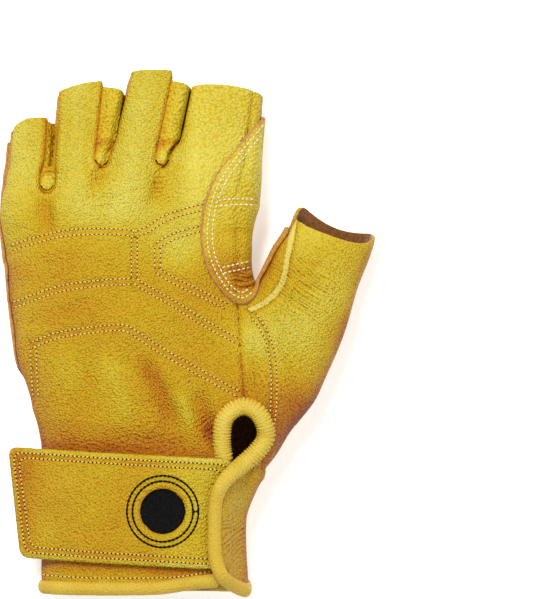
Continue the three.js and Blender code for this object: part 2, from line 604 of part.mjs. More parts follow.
// Outlines of the panels seen from above. The cuff's side seam ends the thumb at THUMB_LOW.
const THUMB_LOW = THUMB_SEAM_BACK[THUMB_SEAM_BACK.length - 1].y * HAND_LENGTH;
const backOutline = [
  [-FAR, HIGH_Y], [BACK_SEAM[0].x * PALM_WIDTH, HIGH_Y], ...places(BACK_SEAM),
  ...teardrop.slice(4), [SLIT_X, 0.9 * SLIT_HEIGHT], [SLIT_X, -FAR], [-FAR, -FAR],
];
const thumbOutline = [
  ...places(THUMB_SEAM_BACK), [FAR, THUMB_LOW], [FAR, HIGH_Y], [0.7 * PALM_WIDTH, HIGH_Y],
  ...places(WELT_SEAM).slice(1).reverse(),
];
const thumbPalmOutline = [
  ...places(THUMB_SEAM_PALM), [0.68 * PALM_WIDTH, HIGH_Y], [FAR, HIGH_Y], [FAR, THUMB_LOW],
];
const weltOutline = [
  ...places(WELT_SEAM),
  ...places(WELT_SEAM).map(([x, y]) => [x - WELT_WIDTH, y + WELT_WIDTH / 2]).reverse(),
];
const overlayOutline = [
  ...places(OVERLAY_BACK), [0.6 * PALM_WIDTH, 0.92 * HAND_LENGTH],
  [0.8 * PALM_WIDTH, 0.95 * HAND_LENGTH], [0.8 * PALM_WIDTH, 1.2 * HAND_LENGTH],
];
const overlayPalmOutline = [
  ...places(OVERLAY_PALM), [0.62 * PALM_WIDTH, HIGH_Y], [-0.7 * PALM_WIDTH, HIGH_Y],
];

const slots = [0, 1, 2].map(slotOutline);
const slotRooms = slots.map((outline) => prism(grown(outline, SEAM_GAP)));
const backRegion = (gap) => prism(grown(backOutline, gap)).intersect(aboveSideSeam(-gap));
const thumbRegion = (gap) => wrapped(thumbOutline, thumbPalmOutline, gap);
const weltRegion = (gap) => prism(grown(weltOutline, gap)).intersect(aboveSideSeam(-gap));
const shell = form(0).subtract(form(-LEATHER));
const bindingRoom = bindingTube(BINDING_RADIUS + SEAM_GAP);

// The back runs on under the flap, and its right edge is bound only round the teardrop.
function backPanel() {
  const underlap = box(
    [SLIT_X - 1, -FAR, 0.6 * CUFF_HEIGHT],
    [SLIT_X + UNDERLAP, 0.8 * SLIT_HEIGHT, FAR],
  );
  return without(shell.intersect(backRegion(0).add(underlap)), [...slotRooms, bindingRoom]);
}

function palmPanel() {
  const hole = prism(teardrop, 0.6 * CUFF_HEIGHT);
  const neighbours = [backRegion(SEAM_GAP), thumbRegion(SEAM_GAP), weltRegion(0), hole];
  return lifted(mainBody(without(shell, [...neighbours, ...slotRooms]))).subtract(bindingRoom);
}

// The last stretch of a finger, which the overlay leaves bare.
function fingerEnd(finger) {
  const share = OVERLAY_END / FINGER_LENGTH[finger.name];
  const corner = (frame, way) => {
    const point = frame.centre.clone().addScaledVector(frame.side, way * (frame.half + 2 * SOLE));
    return [point.x, point.y];
  };
  const [from, to] = [1 - share, 1 + share].map((s) => fingerFrame(finger, s));
  return prism([corner(from, -1), corner(from, 1), corner(to, 1), corner(to, -1)]);
}

// The overlay lies on the palm and the fingers, and comes up beside the index finger.
function palmOverlay() {
  const layer = form(OVERLAY + OVERLAY_GAP).subtract(form(OVERLAY_GAP));
  const region = wrapped(overlayOutline, overlayPalmOutline, 0);
  return without(layer.intersect(region), [...slotRooms, ...FINGERS.map(fingerEnd)]);
}

const glove = new THREE.Group();

function piece(name, made, material) {
  const mesh = new THREE.Mesh(geometryOf(mainBody(made)), material);
  mesh.name = name;
  glove.add(mesh);
}

piece('back_panel', backPanel(), leather);
piece('palm_panel', palmPanel(), leather);
slots.forEach((outline, i) => {
  const name = `fourchette_${FINGERS[i].name}_${FINGERS[i + 1].name}`;
  piece(name, shell.intersect(prism(outline)), leather);
});
piece('thumb_panel', shell.intersect(thumbRegion(0)).subtract(bindingRoom), leather);
piece('thumb_welt', shell.intersect(weltRegion(-SEAM_GAP)), pale);
piece('palm_overlay', palmOverlay(), leather);
piece('cuff_strap', strap(), leather);
piece('loop_patch', loopPatch(), loops);
piece('cuff_binding', bindingTube(BINDING_RADIUS), leather);

// The origin goes under the middle of the glove.
const bounds = new THREE.Box3().setFromObject(glove);
const middle = bounds.getCenter(new THREE.Vector3());
glove.position.set(-middle.x, -middle.y, -bounds.min.z);

export default glove;
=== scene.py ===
"""Half-finger leather climbing glove, lying palm down.

The hand, four fingers and the thumb are rounded tubes that melt into one smooth surface. It is cut
along its seams into sewn panels, quilted and creased, and stitched. Lengths in this file are
millimetres on the glove's own axes, as in the solids: y = 0 at the hem, x = 0 in the middle of the
cuff. place() turns them into the frame's metres.
"""
import itertools
import math

import bpy
import numpy as np
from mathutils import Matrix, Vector
from mathutils.bvhtree import BVHTree


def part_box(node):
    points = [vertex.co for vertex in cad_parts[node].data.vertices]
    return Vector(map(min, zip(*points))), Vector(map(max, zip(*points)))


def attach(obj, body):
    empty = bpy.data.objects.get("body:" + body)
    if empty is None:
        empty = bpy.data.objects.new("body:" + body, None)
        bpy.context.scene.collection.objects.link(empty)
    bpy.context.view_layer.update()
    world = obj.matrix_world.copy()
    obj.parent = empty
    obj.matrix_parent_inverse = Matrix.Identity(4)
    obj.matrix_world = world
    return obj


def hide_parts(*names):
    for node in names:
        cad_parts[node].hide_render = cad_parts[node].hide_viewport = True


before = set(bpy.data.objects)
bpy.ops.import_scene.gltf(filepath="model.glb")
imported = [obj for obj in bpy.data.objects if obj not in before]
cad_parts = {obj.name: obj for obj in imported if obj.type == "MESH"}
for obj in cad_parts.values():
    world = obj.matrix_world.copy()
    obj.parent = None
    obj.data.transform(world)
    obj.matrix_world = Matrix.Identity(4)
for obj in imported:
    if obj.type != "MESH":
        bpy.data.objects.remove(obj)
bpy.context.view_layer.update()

# Driving dimensions, the same as the solids'
LEATHER = 1.5
HAND_LENGTH = 173
PALM_WIDTH = 99
PALM_HEIGHT = 27
HEEL_WIDTH = 102
CUFF_WIDTH = 83
CUFF_HEIGHT = 27.5
WEB_DROP = 10
KNUCKLE_VALLEY = 2.4
OVERLAY = 1.3
OVERLAY_GAP = 0.3
OVERLAY_END = 8
FLATTENING = 1.5
SOLE = OVERLAY + OVERLAY_GAP
ROUNDNESS = 2.5
SLOT_RADIUS = 2.6
THUMB_LENGTH = 103
THUMB_WIDTH = 33.5
THUMB_HEIGHT = 20
THUMB_TILT = 20
STRAP_HEIGHT = 44
STRAP_THICKNESS = 1.8
STRAP_OVERHANG = 13
STRAP_TUCK = 3
STRAP_CORNER = 4
STRAP_Y = 33
STRAP_TURN = -3
STRAP_RAKE = 5
STRAP_SLOPE = 0.27
HOLE_RADIUS = 9
HOLE_X = 7.5
PATCH_THICKNESS = 0.8
PATCH_WIDTH = 56
PATCH_HEIGHT = 30
LAYER_GAP = 0.3
BINDING_RADIUS = 2.2
TEARDROP_WIDTH = 17.5
TEARDROP_HEIGHT = 22
TEARDROP_X = 39.6
TEARDROP_Y = 64
SLIT_X = 28
UNDERLAP = 4
WELT_WIDTH = 2.2

# How the skin is drawn
WEB_REACH = 4.5  # how far the leather between the fingers stands past the slots' bottoms
GRID = 0.8  # spacing of the grid that the skin is drawn from
PANEL_GAP = 0.02  # what each piece of the skin keeps off its seams

# at, width, left and right as shares of it, height, web as a share of WEB_DROP
HAND_ROWS = [
    (0.0, CUFF_WIDTH, 0.5, 0.5, CUFF_HEIGHT, 0),
    (0.17, CUFF_WIDTH, 0.49, 0.49, 0.99 * CUFF_HEIGHT, 0),
    (0.26, CUFF_WIDTH, 0.495, 0.56, 0.98 * CUFF_HEIGHT, 0),
    (0.35, HEEL_WIDTH, 0.41, 0.5, 0.98 * PALM_HEIGHT, 0),
    (0.45, HEEL_WIDTH, 0.45, 0.5, 1.02 * PALM_HEIGHT, 0),
    (0.54, HEEL_WIDTH, 0.495, 0.49, 1.04 * PALM_HEIGHT, 0),
    (0.64, PALM_WIDTH, 0.535, 0.47, 1.05 * PALM_HEIGHT, 0),
    (0.73, PALM_WIDTH, 0.55, 0.42, 1.05 * PALM_HEIGHT, 0.1),
    (0.82, PALM_WIDTH, 0.56, 0.416, 1.03 * PALM_HEIGHT, 0.3),
    (0.91, PALM_WIDTH, 0.565, 0.43, PALM_HEIGHT, 0.8),
    (0.97, PALM_WIDTH, 0.56, 0.435, 0.93 * PALM_HEIGHT, 1),
    (1.0, PALM_WIDTH, 0.545, 0.425, 0.7 * PALM_HEIGHT, 1),
]
HAND = np.array([(at, -left * w, right * w, tall, web) for at, w, left, right, tall, web in HAND_ROWS])

# x and y are the root as shares of PALM_WIDTH and HAND_LENGTH; root and thick are the root's width
# and height as shares of the open end's; lean and droop are degrees; seam is the back panel's edge.
FINGERS = [
    dict(name="little", length=40.5, width=16.6, height=16, x=-0.485, y=0.847, lean=4, droop=22,
         root=1.05, thick=1.3, seam=0.62),
    dict(name="ring", length=48, width=25, height=18, x=-0.283, y=0.882, lean=7, droop=20,
         root=0.86, thick=1.32, seam=0.4),
    dict(name="middle", length=51, width=22.6, height=18.5, x=-0.057, y=0.894, lean=12, droop=16,
         root=0.99, thick=1.32, seam=0.5),
    dict(name="index", length=47.5, width=29, height=19, x=0.263, y=0.882, lean=8, droop=18,
         root=1.2, thick=1.28, seam=0.8),
]

# How much shorter the leather of each finger's back is than a square cut: place across, from -1 to 1,
# and length. It steps where the back's seam meets the wall between the fingers.
FINGER_ENDS = dict(
    little=[(-1, 4), (-0.2, 0.6), (0.6, 0), (0.64, 1.2), (1, 1.2)],
    ring=[(-1, 3.6), (-0.2, 0.2), (0.38, -1.6), (0.42, 0.4), (1, 0.4)],
    middle=[(-1, 0.4), (0.48, -2.7), (0.52, 1.3), (1, 1.3)],
    index=[(-1, 0.8), (0, 0), (1, 0.2)],
)

THUMB_ROOT = np.array([0.32 * HEEL_WIDTH, 0.305 * HAND_LENGTH])
# along, across, width, height, tilt
THUMB = np.array([
    (0, 0, 0.7, 1.0, 0),
    (0.117, 0.04, 1.06, 1.2, 0),
    (0.233, 0.085, 1.28, 1.28, 0),
    (0.35, 0.155, 1.36, 1.3, 0),
    (0.544, 0.264, 1.22, 1.24, 0.2),
    (0.726, 0.342, 1.08, 1.12, 0.6),
    (0.905, 0.419, 1, 1, 1),
])
THUMB_END = THUMB[-1, 0]

# Seams and edges as (x, y), shares of PALM_WIDTH and HAND_LENGTH
BACK_SEAM = [(0.46, 1.26), (0.42, 1.06), (0.38, 0.92), (0.37, 0.8), (0.375, 0.68), (0.385, 0.57)]
THUMB_SEAM_BACK = [
    (0.43, 0.648), (0.47, 0.62), (0.5, 0.58), (0.515, 0.5), (0.51, 0.42), (0.49, 0.35), (0.47, 0.285),
]
THUMB_SEAM_PALM = [
    (0.47, 0.285), (0.32, 0.25), (0.16, 0.24), (0, 0.24), (-0.16, 0.28), (-0.28, 0.37),
    (-0.28, 0.42), (-0.16, 0.47), (0, 0.58), (0.2, 0.64), (0.4, 0.68), (0.55, 0.8), (0.64, 1.02),
]
WELT_SEAM = [(0.43, 0.648), (0.505, 0.67), (0.565, 0.712), (0.584, 0.77), (0.615, 0.87), (0.66, 1.02)]
OVERLAY_BACK = [
    (0.62, 1.16), (0.5, 1.11), (0.452, 1.08), (0.384, 1.03), (0.311, 0.975), (0.263, 0.92),
    (0.238, 0.86), (0.234, 0.81), (0.246, 0.77), (0.275, 0.73), (0.323, 0.69), (0.376, 0.669),
    (0.42, 0.672), (0.452, 0.69), (0.465, 0.72),
]
OVERLAY_PALM = [
    (-0.6, 0.64), (-0.5, 0.52), (-0.4, 0.42), (-0.34, 0.4), (-0.16, 0.485), (0, 0.6), (0.2, 0.66),
    (0.42, 0.7), (0.52, 0.74), (0.6, 0.88),
]
TEARDROP = [
    (0.64, -0.63), (1, -0.17), (0.95, 0.3), (0.6, 0.77), (0.05, 0.97), (-0.5, 0.83), (-0.91, 0.43),
    (-1, -0.23), (-0.97, -0.62),
]
FLAP_EDGE = [
    (0.9, 0.02), (0.55, 0.07), (0.22, 0.15), (0.03, 0.29), (0, 0.48), (0.03, 0.7), (0.17, 0.83),
    (0.45, 0.93), (0.88, 1.02),
]

FAR = 300
SLIT_HEIGHT = TEARDROP_Y - TEARDROP_HEIGHT / 2 - 2
STRAP_LIFT = LAYER_GAP + PATCH_THICKNESS + LAYER_GAP
FLAP_LIFT = STRAP_LIFT + STRAP_THICKNESS + LAYER_GAP + BINDING_RADIUS + LEATHER / 2
STRAP_LEFT = -CUFF_WIDTH / 2 - STRAP_OVERHANG
STRAP_RIGHT = SLIT_X + STRAP_TUCK

# The loop patch is a plain rectangle on the glove's axes, so its place in the frame fixes the axes.
patch_low, patch_high = (np.array(corner) * 1000 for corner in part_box("loop_patch"))
PATCH_LEFT = HOLE_X - PATCH_WIDTH + 2 * HOLE_RADIUS
PATCH_RIGHT = HOLE_X + 1.6 * HOLE_RADIUS
SHIFT = np.array([
    (patch_low[0] + patch_high[0] - PATCH_LEFT - PATCH_RIGHT) / 2,
    (patch_low[1] + patch_high[1]) / 2 - STRAP_Y,
    0,
])


def place(points):
    """Points in millimetres on the glove's axes, in the frame's metres."""
    return (np.asarray(points) + SHIFT) / 1000


def smoothstep(x, low, high):
    t = np.clip((x - low) / (high - low), 0, 1)
    return t * t * (3 - 2 * t)


def bump(x, width):
    return np.exp(-((x / width) ** 2))


def places(rows):
    return np.array(rows, float) * (PALM_WIDTH, HAND_LENGTH)


def between(p0, p1, p2, p3, t):
    """Points of a smooth curve at shares t of the way from p1 to p2."""
    bend = (2 * p0 - 5 * p1 + 4 * p2 - p3) * t**2 + (3 * p1 - p0 - 3 * p2 + p3) * t**3
    return 0.5 * (2 * p1 + (p2 - p0) * t + bend)


def sampled(table, at):
    """Smooth values between a table's rows; its first column is the key."""
    keys = table[:, 0]
    values = table[:, 1:]
    at = np.clip(at, keys[0], keys[-1])
    i = np.clip(np.searchsorted(keys, at), 1, len(keys) - 1)
    t = ((at - keys[i - 1]) / (keys[i] - keys[i - 1]))[:, None]
    p0, p1, p2 = values[np.maximum(i - 2, 0)], values[i - 1], values[i]
    p3 = values[np.minimum(i + 1, len(keys) - 1)]
    return between(p0, p1, p2, p3, t)


# The form: distances from the surface of each limb, negative inside

def rounded_section(u, v, half, tall):
    """Distance from a rounded section of that half width and half height."""
    n = ROUNDNESS
    au, av = np.abs(u) / half, np.abs(v) / tall
    r = np.maximum((au**n + av**n) ** (1 / n), 1e-3)
    slope = np.hypot((au / r) ** (n - 1) / half, (av / r) ** (n - 1) / tall)
    return (r - 1) / slope


def smooth_min(a, b, k):
    h = np.clip(0.5 + 0.5 * (b - a) / k, 0, 1)
    return b + (a - b) * h - k * h * (1 - h)


def smooth_max(a, b, k):
    return -smooth_min(-a, -b, k)


def root_of(finger):
    return np.array([finger["x"] * PALM_WIDTH, finger["y"] * HAND_LENGTH])


def root_half(finger):
    return finger["root"] * finger["width"] / 2


CROTCHES = [
    (root_of(a)[0] + root_half(a) + root_of(b)[0] - root_half(b)) / 2 for a, b in zip(FINGERS, FINGERS[1:])
]


def web_drop(x):
    return WEB_DROP * smoothstep(-x, -CROTCHES[1] + 1, -CROTCHES[0] + 1)


# How much of each gap between two fingers the walls of the two fill
GAP_SHARES = np.array([(0.93, 0.05), (0.95, 0.04), (0.95, 0.03)])


def neighbour_room(p, n):
    """How far each point of a finger may swell towards the finger beside it."""
    fields = np.array([finger_distance(f, p) for f in FINGERS])
    own = np.argmin(fields, axis=0)
    room = np.zeros(len(p))
    for step in (-1, 1):
        beside = own + step
        real = (beside >= 0) & (beside < len(FINGERS))
        away = fields[np.clip(beside, 0, len(FINGERS) - 1), np.arange(len(p))]
        first = np.clip(np.minimum(own, own + step), 0, len(GAP_SHARES) - 1)
        share = GAP_SHARES[first, 0 if step > 0 else 1]
        swollen = share * np.maximum(away - 0.06, 0) * (1 - smoothstep(away, 5, 11))
        room = np.where(real, np.maximum(room, swollen), room)
    room = room * (1 - n[:, 2] ** 8) * (fields.min(0) < 1.5)
    return room * smoothstep(p[:, 1], HAND_LENGTH - 12, HAND_LENGTH + 2)


def valley(x, y):
    dips = sum(bump(x - at, 0.075 * PALM_WIDTH) for at in CROTCHES)
    return smoothstep(y / HAND_LENGTH, 0.78, 0.97) * dips


def hand_section(y):
    """Middle x, half width, middle z, half height and web of the hand at height y above the hem."""
    left, right, tall, web = sampled(HAND, y / HAND_LENGTH).T
    middle = SOLE - FLATTENING + np.maximum(tall, 0.9 * PALM_HEIGHT) / 2
    return (left + right) / 2, (right - left) / 2, middle, tall / 2, web


def hand_top(x, y):
    """Height of the back of the hand."""
    x, y = np.broadcast_arrays(np.asarray(x, float), np.asarray(y, float))
    cx, half, cz, tall, _ = hand_section(y.ravel())
    reach = np.clip(np.abs((x.ravel() - cx) / half), 0, 1)
    up = (1 - reach**ROUNDNESS) ** (1 / ROUNDNESS)
    z = cz + tall * up - KNUCKLE_VALLEY * valley(x.ravel(), y.ravel()) * up
    return z.reshape(x.shape)


def hand_distance(p):
    x, y, z = p.T
    web = hand_section(y)[4]
    y = y + web * web_drop(x)
    cx, half, cz, tall, _ = hand_section(y)
    up = np.clip((z - cz) / tall, 0, 1)
    dip = KNUCKLE_VALLEY * valley(x, y) * up
    side = rounded_section(x - cx, z - cz + dip, half, tall)
    return smooth_max(side, y - HAND_LENGTH - WEB_REACH, 5)


def finger_axes(finger):
    lean = math.radians(finger["lean"])
    along = np.array([math.sin(lean), math.cos(lean)])
    return along, np.array([along[1], -along[0]])


def finger_middle(finger, s):
    root_z = SOLE - 0.3 * FLATTENING + finger["thick"] * finger["height"] / 2
    tip_z = SOLE - 0.6 * FLATTENING + finger["height"] / 2
    return root_z + (tip_z - root_z) * s


def finger_local(finger, p):
    """Share of the finger's length, and place across it, of each point."""
    along, side = finger_axes(finger)
    q = p[:, :2] - root_of(finger)
    return q @ along / finger["length"], q @ side


def finger_distance(finger, p):
    s, u = finger_local(finger, p)
    t = np.clip(s, 0, 1.2)
    buried = 1 - 0.45 * np.clip((0.08 - s) / 0.38, 0, 1)
    half = buried * finger["width"] * (finger["root"] + (1 - finger["root"]) * t) / 2
    tall = buried * finger["height"] * (finger["thick"] + (1 - finger["thick"]) * t) / 2
    side = rounded_section(u, p[:, 2] - finger_middle(finger, t), half, tall)
    return np.maximum(side, (-0.3 - s) * finger["length"])


def thumb_local(p):
    """Share along the thumb, place across it, and its direction, for each point."""
    def centre(share):
        across = sampled(THUMB[:, :2], share)[:, 0]
        return THUMB_ROOT + THUMB_LENGTH * np.stack([across, share], 1)

    share = np.clip((p[:, 1] - THUMB_ROOT[1]) / THUMB_LENGTH, 0, THUMB_END)
    for _ in range(4):
        step = centre(np.clip(share + 0.02, 0, THUMB_END)) - centre(np.clip(share - 0.02, 0, THUMB_END))
        along = step / np.linalg.norm(step, axis=1)[:, None]
        off = ((p[:, :2] - centre(share)) * along).sum(1)
        share = np.clip(share + off / THUMB_LENGTH * 0.9, 0, THUMB_END)
    q = p[:, :2] - centre(share)
    past = (q * along).sum(1) / THUMB_LENGTH
    side = np.stack([along[:, 1], -along[:, 0]], 1)
    return share + past, (q * side).sum(1), along


def thumb_distance(p):
    s, u, _ = thumb_local(p)
    width, height = sampled(THUMB[:, [0, 2, 3]], s).T
    tall = THUMB_HEIGHT * height / 2
    side = rounded_section(u, p[:, 2] - (SOLE - 0.6 * FLATTENING + tall), THUMB_WIDTH * width / 2, tall)
    return np.maximum(side, -s * THUMB_LENGTH)


def form_distance(p):
    hand = hand_distance(p)
    whole = np.min([smooth_min(hand, finger_distance(f, p), 5) for f in FINGERS], axis=0)
    whole = smooth_min(whole, thumb_distance(p), 9 - 5.5 * smoothstep(p[:, 1], 100, 118))
    return smooth_max(whole, SOLE - p[:, 2], 3)


def gradient(field, p, step=0.15):
    return np.stack([
        (field(p + np.eye(3)[i] * step) - field(p - np.eye(3)[i] * step)) / (2 * step) for i in range(3)
    ], 1)


def cut_planes(p):
    """Distance past the open end of the limb that each point is on."""
    fields, cuts = [], []
    for finger in FINGERS:
        along, _ = finger_axes(finger)
        droop = math.radians(finger["droop"])
        normal = np.array([*(along * math.cos(droop)), -math.sin(droop)])
        end = np.array([*(root_of(finger) + along * finger["length"]), finger_middle(finger, 1)])
        fields.append(finger_distance(finger, p))
        _, u = finger_local(finger, p)
        shape = np.interp(2 * u / finger["width"], *zip(*FINGER_ENDS[finger["name"]]))
        upper = np.where(u < 0, 1, smoothstep(above_side_seam(p), -2, 2))
        cuts.append((p - end) @ normal + shape * upper)
    s, across, _ = thumb_local(p)
    tilt = math.radians(THUMB_TILT)
    rise = p[:, 2] - (SOLE - 0.6 * FLATTENING + THUMB_HEIGHT / 2)
    fields.append(thumb_distance(p))
    lower = smoothstep(-rise, 0, 0.4 * THUMB_HEIGHT)
    u = np.clip(across / (THUMB_WIDTH / 2), -1.1, 1.1)
    sunk = lower * (3 + 2.2 * u - 4.8 * u**2)
    cuts.append((s - THUMB_END) * THUMB_LENGTH * math.cos(tilt) + rise * math.sin(tilt) + sunk)
    nearest = np.argmin(fields, axis=0)
    return np.choose(nearest, cuts)


# Meshes: a dict of "p" points, "t" triangles and any other value per point

def surface_net(field, low, high, step):
    """A smooth mesh of where the field is zero."""
    axes = [np.arange(a, b, step) for a, b in zip(low, high)]
    shape = [len(a) for a in axes]
    grid = np.stack(np.meshgrid(*axes, indexing="ij"), -1).reshape(-1, 3)
    values = np.concatenate([field(part) for part in np.array_split(grid, 24)]).reshape(shape)
    corners = list(itertools.product((0, 1), repeat=3))

    def at(array, offset):
        return array[tuple(slice(o, n - 1 + o) for o, n in zip(offset, shape))]

    count = sum((at(values, c) < 0).astype(int) for c in corners)
    cells = np.argwhere((count > 0) & (count < 8))
    index = -np.ones([n - 1 for n in shape], int)
    index[tuple(cells.T)] = np.arange(len(cells))
    total, weight = np.zeros((len(cells), 3)), np.zeros(len(cells))
    for a, b in itertools.combinations(corners, 2):
        if sum(np.abs(np.subtract(a, b))) != 1:
            continue
        fa = values[tuple((cells + a).T)]
        fb = values[tuple((cells + b).T)]
        crossing = (fa < 0) != (fb < 0)
        share = np.where(crossing, fa / np.where(crossing, fa - fb, 1), 0)
        total += crossing[:, None] * (np.array(a) + share[:, None] * np.subtract(b, a))
        weight += crossing
    points = np.array(low) + step * (cells + total / weight[:, None])
    quads = []
    for axis in range(3):
        one, two = [(axis + k) % 3 for k in (1, 2)]
        lower = [slice(1, n - 1) for n in shape]
        lower[axis] = slice(0, shape[axis] - 1)
        upper = list(lower)
        upper[axis] = slice(1, shape[axis])
        va, vb = values[tuple(lower)] < 0, values[tuple(upper)] < 0
        edges = np.argwhere(va != vb) + [s.start for s in lower]
        turned = values[tuple(edges.T)] < 0
        ring = []
        for d1, d2 in ((0, 0), (-1, 0), (-1, -1), (0, -1)):
            cell = edges.copy()
            cell[:, one] += d1
            cell[:, two] += d2
            ring.append(index[tuple(cell.T)])
        quad = np.stack(ring, 1)
        quads.append(np.where(turned[:, None], quad, quad[:, ::-1]))
    quads = np.concatenate(quads)
    return points, np.concatenate([quads[:, [0, 1, 2]], quads[:, [0, 2, 3]]])


def picked(mesh, index, t):
    """The mesh with those of its points, and with new triangles."""
    made = {name: value[index] for name, value in mesh.items() if name != "t"}
    made["t"] = t
    return made


def clipped(mesh, values):
    """The part of the mesh where values are negative, cut along zero."""
    t = mesh["t"]
    inside = values < 0
    count = inside[t].sum(1)
    keep = [t[count == 3]]
    cut = t[(count == 1) | (count == 2)]
    lone = np.where(inside[cut].sum(1) == 1, inside[cut].argmax(1), (~inside[cut]).argmax(1))
    row = np.arange(len(cut))
    a, b, c = (cut[row, (lone + k) % 3] for k in range(3))
    pairs = np.concatenate([np.stack([a, b], 1), np.stack([a, c], 1)])
    keys, back = np.unique(np.sort(pairs, 1), axis=0, return_inverse=True)
    back = back.ravel()
    v0, v1 = values[keys[:, 0]], values[keys[:, 1]]
    share = v0 / (v0 - v1)
    size = len(values)
    made = {}
    for name, value in mesh.items():
        if name == "t":
            continue
        w = share if value.ndim == 1 else share[:, None]
        made[name] = np.concatenate([value, value[keys[:, 0]] * (1 - w) + value[keys[:, 1]] * w])
    ab, ac = size + back[:len(cut)], size + back[len(cut):]
    single = inside[a]
    keep.append(np.stack([a, ab, ac], 1)[single])
    keep.append(np.stack([ab, b, c], 1)[~single])
    keep.append(np.stack([ab, c, ac], 1)[~single])
    used, t = np.unique(np.concatenate(keep), return_inverse=True)
    return picked(made, used, t.reshape(-1, 3))


def main_part(mesh):
    """The mesh without its small loose scraps."""
    t = mesh["t"]
    label = np.arange(len(mesh["p"]))
    while True:
        low = label[t].min(1)
        new = label.copy()
        for k in range(3):
            np.minimum.at(new, t[:, k], low)
        new = new[new]
        if (new == label).all():
            break
        label = new
    counts = np.bincount(label[t[:, 0]])
    t = t[label[t[:, 0]] == counts.argmax()]
    used, t = np.unique(t, return_inverse=True)
    return picked(mesh, used, t.reshape(-1, 3))


def point_normals(p, t):
    face = np.cross(p[t[:, 1]] - p[t[:, 0]], p[t[:, 2]] - p[t[:, 0]])
    total = np.zeros_like(p)
    for k in range(3):
        np.add.at(total, t[:, k], face)
    return total / np.maximum(np.linalg.norm(total, axis=1), 1e-12)[:, None]


def welded(mesh, distance):
    """The mesh with points closer than distance joined, which clears slivers beside a cut."""
    keys = np.round(mesh["p"] / distance).astype(np.int64)
    _, first, back = np.unique(keys, axis=0, return_index=True, return_inverse=True)
    t = back.ravel()[mesh["t"]]
    t = t[(t[:, 0] != t[:, 1]) & (t[:, 1] != t[:, 2]) & (t[:, 2] != t[:, 0])]
    return picked(mesh, first, t)


def thickened(mesh, thickness, bulge, flare=0.0):
    """A closed skin: the mesh, a copy that far below it, and a rounded rim. Adds "face": 0, 1 and 2."""
    p, t = mesh["p"], mesh["t"]
    normal = point_normals(p, t)
    edges = np.concatenate([t[:, [0, 1]], t[:, [1, 2]], t[:, [2, 0]]])
    codes = edges[:, 0] * len(p) + edges[:, 1]
    backs = edges[:, 1] * len(p) + edges[:, 0]
    rim = edges[~np.isin(codes, backs)]
    out = np.zeros_like(p)
    outward = np.cross(p[rim[:, 1]] - p[rim[:, 0]], normal[rim[:, 0]])
    outward /= np.maximum(np.linalg.norm(outward, axis=1), 1e-9)[:, None]
    for k in range(2):
        np.add.at(out, rim[:, k], outward)
    for _ in range(3):
        spread = out.copy()
        for a, b in (rim.T, rim.T[::-1]):
            np.add.at(spread, a, out[b])
        out = spread / np.maximum(np.linalg.norm(spread, axis=1), 1e-9)[:, None]
    members = np.unique(rim)
    number = -np.ones(len(p), int)
    number[members] = np.arange(len(members))
    n = len(p)
    middle = p[members] - normal[members] * thickness / 2 + out[members] * bulge
    made = {}
    for name, value in mesh.items():
        if name not in ("p", "t"):
            made[name] = np.concatenate([value, value, value[members]])
    below = p - normal * thickness
    below[members] += out[members] * flare
    made["p"] = np.concatenate([p, below, middle])
    a, b = rim.T
    ma, mb = 2 * n + number[a], 2 * n + number[b]
    sides = [
        np.stack([b, a, ma], 1), np.stack([b, ma, mb], 1),
        np.stack([mb, ma, a + n], 1), np.stack([mb, a + n, b + n], 1),
    ]
    made["t"] = np.concatenate([t, t[:, ::-1] + n, *sides])
    made["face"] = np.repeat([0, 1, 2], [len(t), len(t), 4 * len(rim)])
    return made


# Values kept on the points: painted shade, wear with painted light, grain size, wrinkle place and wrinkle
# strength
VALUES = ("crease", "wear", "coarse", "phase", "wrinkle")


def piece(name, mesh, materials, node=None):
    """A Blender object of that mesh, riding on the glove, for the CAD node it replaces."""
    data = bpy.data.meshes.new(name)
    data.from_pydata([], [], [])
    p, t = place(mesh["p"]), mesh["t"]
    data.vertices.add(len(p))
    data.vertices.foreach_set("co", p.astype(np.float32).ravel())
    data.loops.add(t.size)
    data.loops.foreach_set("vertex_index", t.astype(np.int32).ravel())
    data.polygons.add(len(t))
    data.polygons.foreach_set("loop_start", np.arange(0, t.size, 3, dtype=np.int32))
    data.polygons.foreach_set("loop_total", np.full(len(t), 3, dtype=np.int32))
    for material in materials:
        data.materials.append(material)
    if "face" in mesh:
        face = np.minimum(mesh["face"], len(materials) - 1)
        data.polygons.foreach_set("material_index", face.astype(np.int32))
    data.update(calc_edges=True)
    data.validate()
    for key in VALUES:
        if key in mesh:
            made = data.attributes.new(key, "FLOAT", "POINT")
            made.data.foreach_set("value", mesh[key].astype(np.float32))
    data.polygons.foreach_set("use_smooth", np.ones(len(data.polygons), bool))
    obj = bpy.data.objects.new(name, data)
    bpy.context.scene.collection.objects.link(obj)
    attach(obj, "root")
    if node:
        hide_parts(node)


# Regions of the sewn panels: distances from them, negative inside

def outline_distance(p, outline):
    """Distance of each point, seen from above, from a closed outline."""
    q = np.asarray(outline, float)
    near = np.full(len(p), np.inf)
    inside = np.zeros(len(p), bool)
    for a, b in zip(q, np.roll(q, -1, axis=0)):
        edge = b - a
        t = np.clip((p[:, :2] - a) @ edge / max(edge @ edge, 1e-9), 0, 1)
        near = np.minimum(near, np.hypot(*(p[:, :2] - a - t[:, None] * edge).T))
        crosses = (a[1] > p[:, 1]) != (b[1] > p[:, 1])
        rise = edge[1] if edge[1] else 1e-9
        inside ^= crosses & (p[:, 0] < a[0] + (p[:, 1] - a[1]) * edge[0] / rise)
    return np.where(inside, -near, near)


